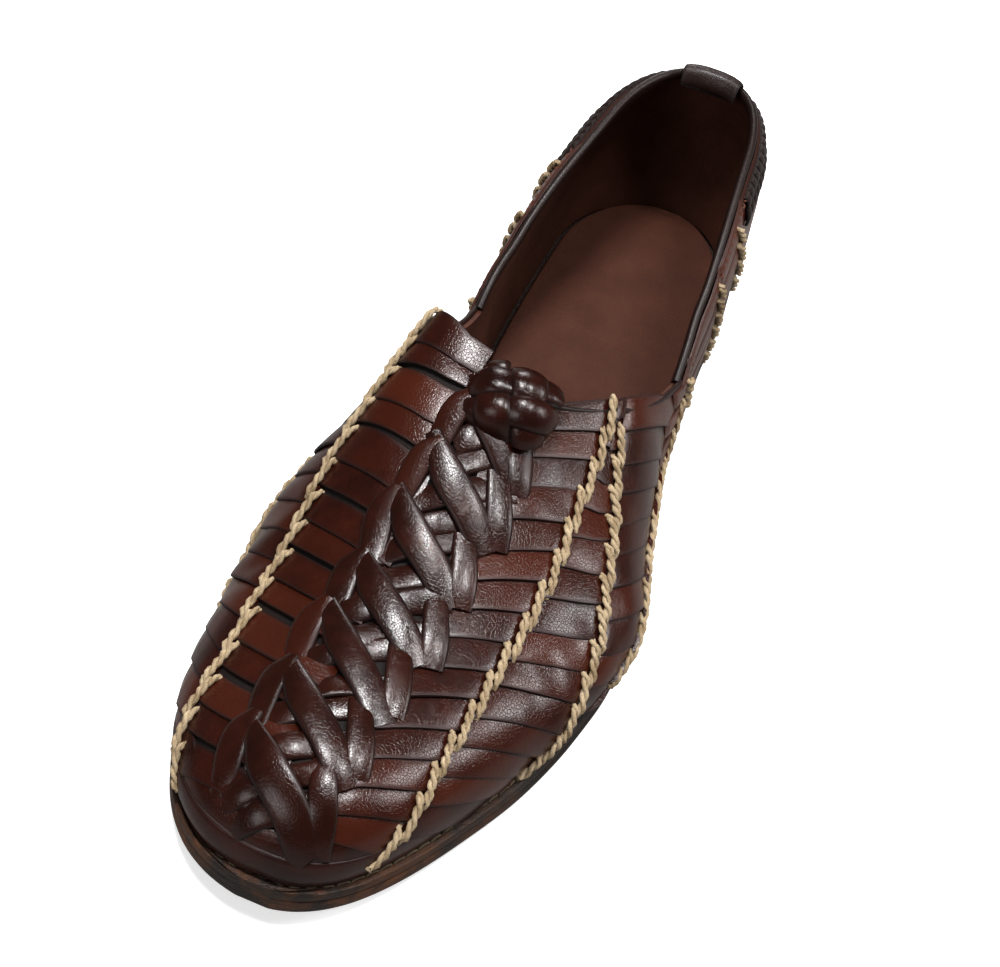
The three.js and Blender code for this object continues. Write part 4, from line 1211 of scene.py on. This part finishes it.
def backPieces():
    build = newBuild()
    look = backStrip

    def strip(t, s):
        wide = look["width"] * mix(look["lowWide"], look["highWide"], t)
        return backPlace((s - 0.5) * wide, mix(look["low"], look["high"], t))
    addStrap(build, strip, lambda t, s: look["lift"] + 0 * t, look["thickness"], 0.15, steps=22, tone=0.3)

    def tab(t, s):
        height = mix(look["tabLow"], look["tabHigh"], np.clip(t / look["tabFold"], 0, 1))
        points, normals = backPlace((s - 0.5) * look["tabWidth"], height)
        over = np.clip((t - look["tabFold"]) / (1 - look["tabFold"]), 0, 1)
        points[..., 0] += look["foldReach"] * np.sin(over * math.pi / 2) + look["foldSlide"] * over
        points[..., 2] += look["foldRise"] * np.sin(over * math.pi)
        points[..., 2] -= look["foldDrop"] * np.clip(over - 0.6, 0, 1)
        return points, unit(normals * (1 - over)[..., None] + np.array([0.5, 0, 0.85]) * over[..., None])
    addStrap(build, tab, lambda t, s: look["tabLift"] - look["tabPress"] * t, look["thickness"], 0.2,
             steps=30, tone=0.5)
    strap = finishMesh("heel_strip_and_tab", build, [bindingLeather])
    build = newBuild()
    for sign in (-1, 1):
        for z in np.arange(look["low"] + 2, look["tabLow"] - 1, look["stitchEvery"]):
            heights = np.linspace(z, z + look["stitchLong"], len(stitchEnds))
            away = np.full(len(stitchEnds), sign * (look["width"] / 2 - look["inset"]))
            points, normals = backPlace(away, heights)
            depth = look["stitchLift"] - stitchEnds
            addTube(build, points + normals * depth[:, None], look["thread"], sides=6, up=(1.0, 0.0, 0.0))
    return strap, finishMesh("heel_strip_stitches", build, [threadBrown])


# Sole layers, each cut to the outline. Every level is (inset, height) from its underside up.
def addPlate(build, levels, inset=0.0, toX=None, stations=150):
    low = inset + lastSizes["endFacet"]
    t = np.linspace(0, 1, stations)
    if toX is None:
        high = lastSizes["length"] - inset - lastSizes["endFacet"]
        x = mix(low, high, 0.5 - 0.5 * np.cos(math.pi * t))
    else:
        x = mix(low, toX, 1 - np.cos(math.pi / 2 * t))
    inner, outer = outlineAt(x, inset, inset, inset)
    narrow = 12.0  # half width under which an inset shrinks with the outline
    rings = []
    for side, half in ((-1, inner), (1, outer)):
        points = []
        for further, height in levels:
            y = swingAt(x) + side * (half - further * np.minimum(1, half / narrow))
            points.append(np.stack([x, y, height(x)], 1))
        rings.extend(points if side < 0 else points[::-1])
    addBand(build, np.stack(rings, 1), 0.0, 0.5, x[:, None])


def raised(level, amount):
    return lambda x: level(x) + amount


def flatAt(height):
    return lambda x: np.full(x.shape, height)


soleEdges = dict(joint=0.35, seam=0.05, groove=1.9, grooveWidth=1.0, grooveDepth=0.7, heelInset=0.6,
                 blockBack=0.9, insoleGap=4.3, stitchEvery=4.1, stitchDepth=0.12, heelStitchDepth=0.15,
                 thread=0.42)


def solePieces():
    look = soleEdges
    breast = lastSizes["breast"] * lastSizes["length"]
    heelInset, groove, grooveEnd = look["heelInset"], look["groove"], look["groove"] + look["grooveWidth"]
    welt = raised(outsoleTop, look["seam"])
    grooveFloor = raised(midsoleTop, -look["grooveDepth"])
    topLift, blockLow = lastSizes["topLift"], lastSizes["topLift"] + look["seam"]
    insoleTop = lastSizes["insole"]
    plates = {
        "outsole": ("outsole_leather", soleEdge, dict(), [
            (1.6, undersideAt), (0.8, raised(undersideAt, 0.25)), (0.25, raised(undersideAt, 0.9)),
            (0.0, raised(undersideAt, 1.7)), (0.05, raised(outsoleTop, -0.8)),
            (look["joint"], raised(outsoleTop, -0.15)), (1.0, outsoleTop)]),
        "midsole": ("midsole_leather", weltEdge, dict(), [
            (1.0, welt), (look["joint"], raised(welt, 0.2)), (0.0, raised(welt, 0.8)),
            (0.0, raised(midsoleTop, -0.9)), (0.25, raised(midsoleTop, -0.3)), (0.8, midsoleTop),
            (groove - 0.1, midsoleTop), (groove + 0.15, grooveFloor), (grooveEnd, grooveFloor),
            (grooveEnd + 0.2, midsoleTop)]),
        "top_lift": ("heel_top_lift", soleEdge, dict(inset=heelInset, toX=breast), [
            (1.2, flatAt(0.0)), (0.3, flatAt(0.35)), (0.0, flatAt(1.1)),
            (0.0, flatAt(topLift - 0.35)), (0.3, flatAt(topLift))]),
        "heel_block": ("heel_stack", weltEdge, dict(inset=heelInset, toX=breast - look["blockBack"]), [
            (0.3, flatAt(blockLow)), (0.0, flatAt(blockLow + 0.3)),
            (0.0, raised(undersideAt, -0.35)), (0.3, raised(undersideAt, -0.05))]),
        "insole": ("insole_lining", liningLeather, dict(inset=look["insoleGap"] + lastSizes["wall"]), [
            (0.0, featherAt), (0.0, raised(featherAt, insoleTop - 0.8)),
            (0.5, raised(featherAt, insoleTop - 0.2)), (1.6, raised(featherAt, insoleTop))]),
    }
    made = {}
    for nodeName, (name, material, cut, levels) in plates.items():
        build = newBuild()
        addPlate(build, levels, **cut)
        made[nodeName] = finishMesh(name, build, [material])
    # the stitches in the groove
    build = newBuild()
    middle = groove + 0.6
    x = mix(3.2, lastSizes["length"] - 3.2, 0.5 - 0.5 * np.cos(math.pi * np.linspace(0, 1, 900)))
    inner, outer = outlineAt(x, middle, middle, middle)
    sides = [np.stack([x, swingAt(x) + y, midsoleTop(x) - look["stitchDepth"]], 1) for y in (-inner, outer)]
    loop = np.concatenate([sides[0], sides[1][::-1]])
    count = int(lengthAlong(loop)[-1] / look["stitchEvery"])
    loop, _ = evenly(loop, loop, count * 6 + 1)
    for k in range(count):
        bit = loop[6 * k:6 * k + 6].copy()
        if bit[0, 0] < breast * 0.9:
            bit[:, 2] -= look["heelStitchDepth"]
        bit[:, 2] -= np.array([0.7, 0.1, 0.0, 0.0, 0.1, 0.7])
        addTube(build, bit, look["thread"], sides=6, tone=rng.random())
    made["stitches"] = finishMesh("welt_stitches", build, [threadGrey])
    return made


settle(sideStraps())
settle(toeStraps())
settle(waistLoops())
settle(braidStraps())
print("vamp woven")
settle(upperWall(), ["upper"], angle=60)
settle(throatKnob(), ["throat_knot"], angle=70)
quarterStrapPiece, counterPiece = quarterPieces()
settle(quarterStrapPiece)
settle(counterPiece)
hempCords()
print("quarter and cord made")
hemPiece, hemStitches = collarBinding()
settle(hemPiece, ["collar_binding"], angle=80)
settle(hemStitches, angle=80)
settle(heelBand(), ["heel_band"])
stripPiece, stripStitches = backPieces()
settle(stripPiece, ["backstay"])
settle(stripStitches, angle=80)
soleParts = solePieces()
for nodeName in ("outsole", "midsole", "top_lift", "heel_block"):
    settle(soleParts[nodeName], [nodeName], angle=35)
settle(soleParts["insole"], ["insole"], angle=35)
settle(soleParts["stitches"], angle=80)
print("sole made")


# Floor, light and camera
studio = dict(floorSize=6.0, floor=(0.8, 0.8, 0.8), bounce=(0.3, 0.29, 0.28), paper=(0.62, 0.62, 0.62),
              world=(1.0, 1.0, 1.0), worldPower=0.2, glossPower=0.07, seenPower=1.0, gamma=0.88)
# Lights: place, where they point, size and power.
lights = {
    "key": ((0.06, -0.14, 1.15), (0.05, 0, 0.03), (0.2, 0.24), 11),
    "side": ((0.02, 0.36, 1.05), (0.05, 0, 0.03), (0.14, 0.26), 6),
    "back": ((-1.0, -0.35, 0.62), (0.02, 0, 0.03), (0.3, 0.3), 4),
    "window": ((-0.35, 1.05, 0.75), (0.02, 0, 0.03), (0.3, 0.4), 6),
    "front": ((1.0, -0.45, 0.7), (0.05, 0, 0.03), (0.5, 0.4), 3),
}


def addFloor():
    size = studio["floorSize"]
    corners = [(-size, -size, 0), (size, -size, 0), (size, size, 0), (-size, size, 0)]
    mesh = bpy.data.meshes.new("floor")
    mesh.from_pydata(corners, [], [(0, 1, 2, 3)])
    floor = bpy.data.objects.new("floor", mesh)
    bpy.context.scene.collection.objects.link(floor)
    material, tree, shader = newMaterial("floor_paper")
    shader.inputs["Roughness"].default_value = 0.9
    shader.inputs["Specular IOR Level"].default_value = 0.1
    shader.inputs["Emission Strength"].default_value = 1.0
    # the camera sees lit paper, and the leather reflects a darker floor
    seen = addNode(tree, "ShaderNodeLightPath").outputs["Is Camera Ray"]
    tree.links.new(blendColour(tree, seen, studio["bounce"], studio["floor"]), shader.inputs["Base Color"])
    tree.links.new(blendColour(tree, seen, (0, 0, 0), studio["paper"]), shader.inputs["Emission Color"])
    mesh.materials.append(material)


def addLight(name, place, target, size, power):
    light = bpy.data.lights.new(name, "AREA")
    light.shape = "RECTANGLE"
    light.size, light.size_y = size
    light.energy = power
    lamp = bpy.data.objects.new(name, light)
    lamp.location = place
    lamp.rotation_euler = (Vector(target) - Vector(place)).to_track_quat("-Z", "Y").to_euler()
    bpy.context.scene.collection.objects.link(lamp)


# A white world that lights and reflects weakly, so that the dark leather keeps its depth.
def addWorld():
    world = bpy.data.worlds.new("studio")
    world.use_nodes = True
    tree = world.node_tree
    sky = tree.nodes["Background"]
    sky.inputs["Color"].default_value = (*studio["world"], 1)
    path = addNode(tree, "ShaderNodeLightPath")
    seen = times(tree, path.outputs["Is Camera Ray"], studio["seenPower"] - studio["worldPower"])
    gloss = times(tree, path.outputs["Is Glossy Ray"], studio["glossPower"] - studio["worldPower"])
    tree.links.new(plus(tree, plus(tree, seen, gloss), studio["worldPower"]), sky.inputs["Strength"])
    bpy.context.scene.world = world


# The photo's view: its place, and the angle, heading and roll that keep the picture upright.
camera = dict(place=(0.4376, 0.1056, 0.498), pitch=45.9, heading=(-0.922, -0.387), roll=0.077,
              lens=84.0, sensor=36.0, nearest=0.01, target=(0.004, 0.0, 0.026))


def addCamera():
    place = Vector(camera["place"])
    pitch = math.radians(camera["pitch"])
    along, across = (share * math.cos(pitch) for share in camera["heading"])
    forward = Vector((along, across, -math.sin(pitch))).normalized()
    right = forward.cross(Vector((0, 0, 1))).normalized()
    up = -math.sin(camera["roll"]) * right + math.cos(camera["roll"]) * right.cross(forward)
    aim = (Vector(camera["target"]) - place).normalized()
    up = forward.rotation_difference(aim) @ up
    side = aim.cross(up).normalized()
    up = side.cross(aim)
    lens = bpy.data.cameras.new("photo_view")
    lens.lens = camera["lens"]
    lens.sensor_width = camera["sensor"]
    lens.sensor_fit = "HORIZONTAL"
    lens.clip_start = camera["nearest"]
    seen = bpy.data.objects.new("photo_view", lens)
    seen.matrix_world = Matrix((
        (side.x, up.x, -aim.x, place.x),
        (side.y, up.y, -aim.y, place.y),
        (side.z, up.z, -aim.z, place.z),
        (0, 0, 0, 1),
    ))
    bpy.context.scene.collection.objects.link(seen)
    bpy.context.scene.camera = seen


addFloor()
for lightName, values in lights.items():
    addLight(lightName, *values)
addWorld()
addCamera()
bpy.context.scene.view_settings.view_transform = "Standard"
bpy.context.scene.view_settings.gamma = studio["gamma"]
print("studio set")
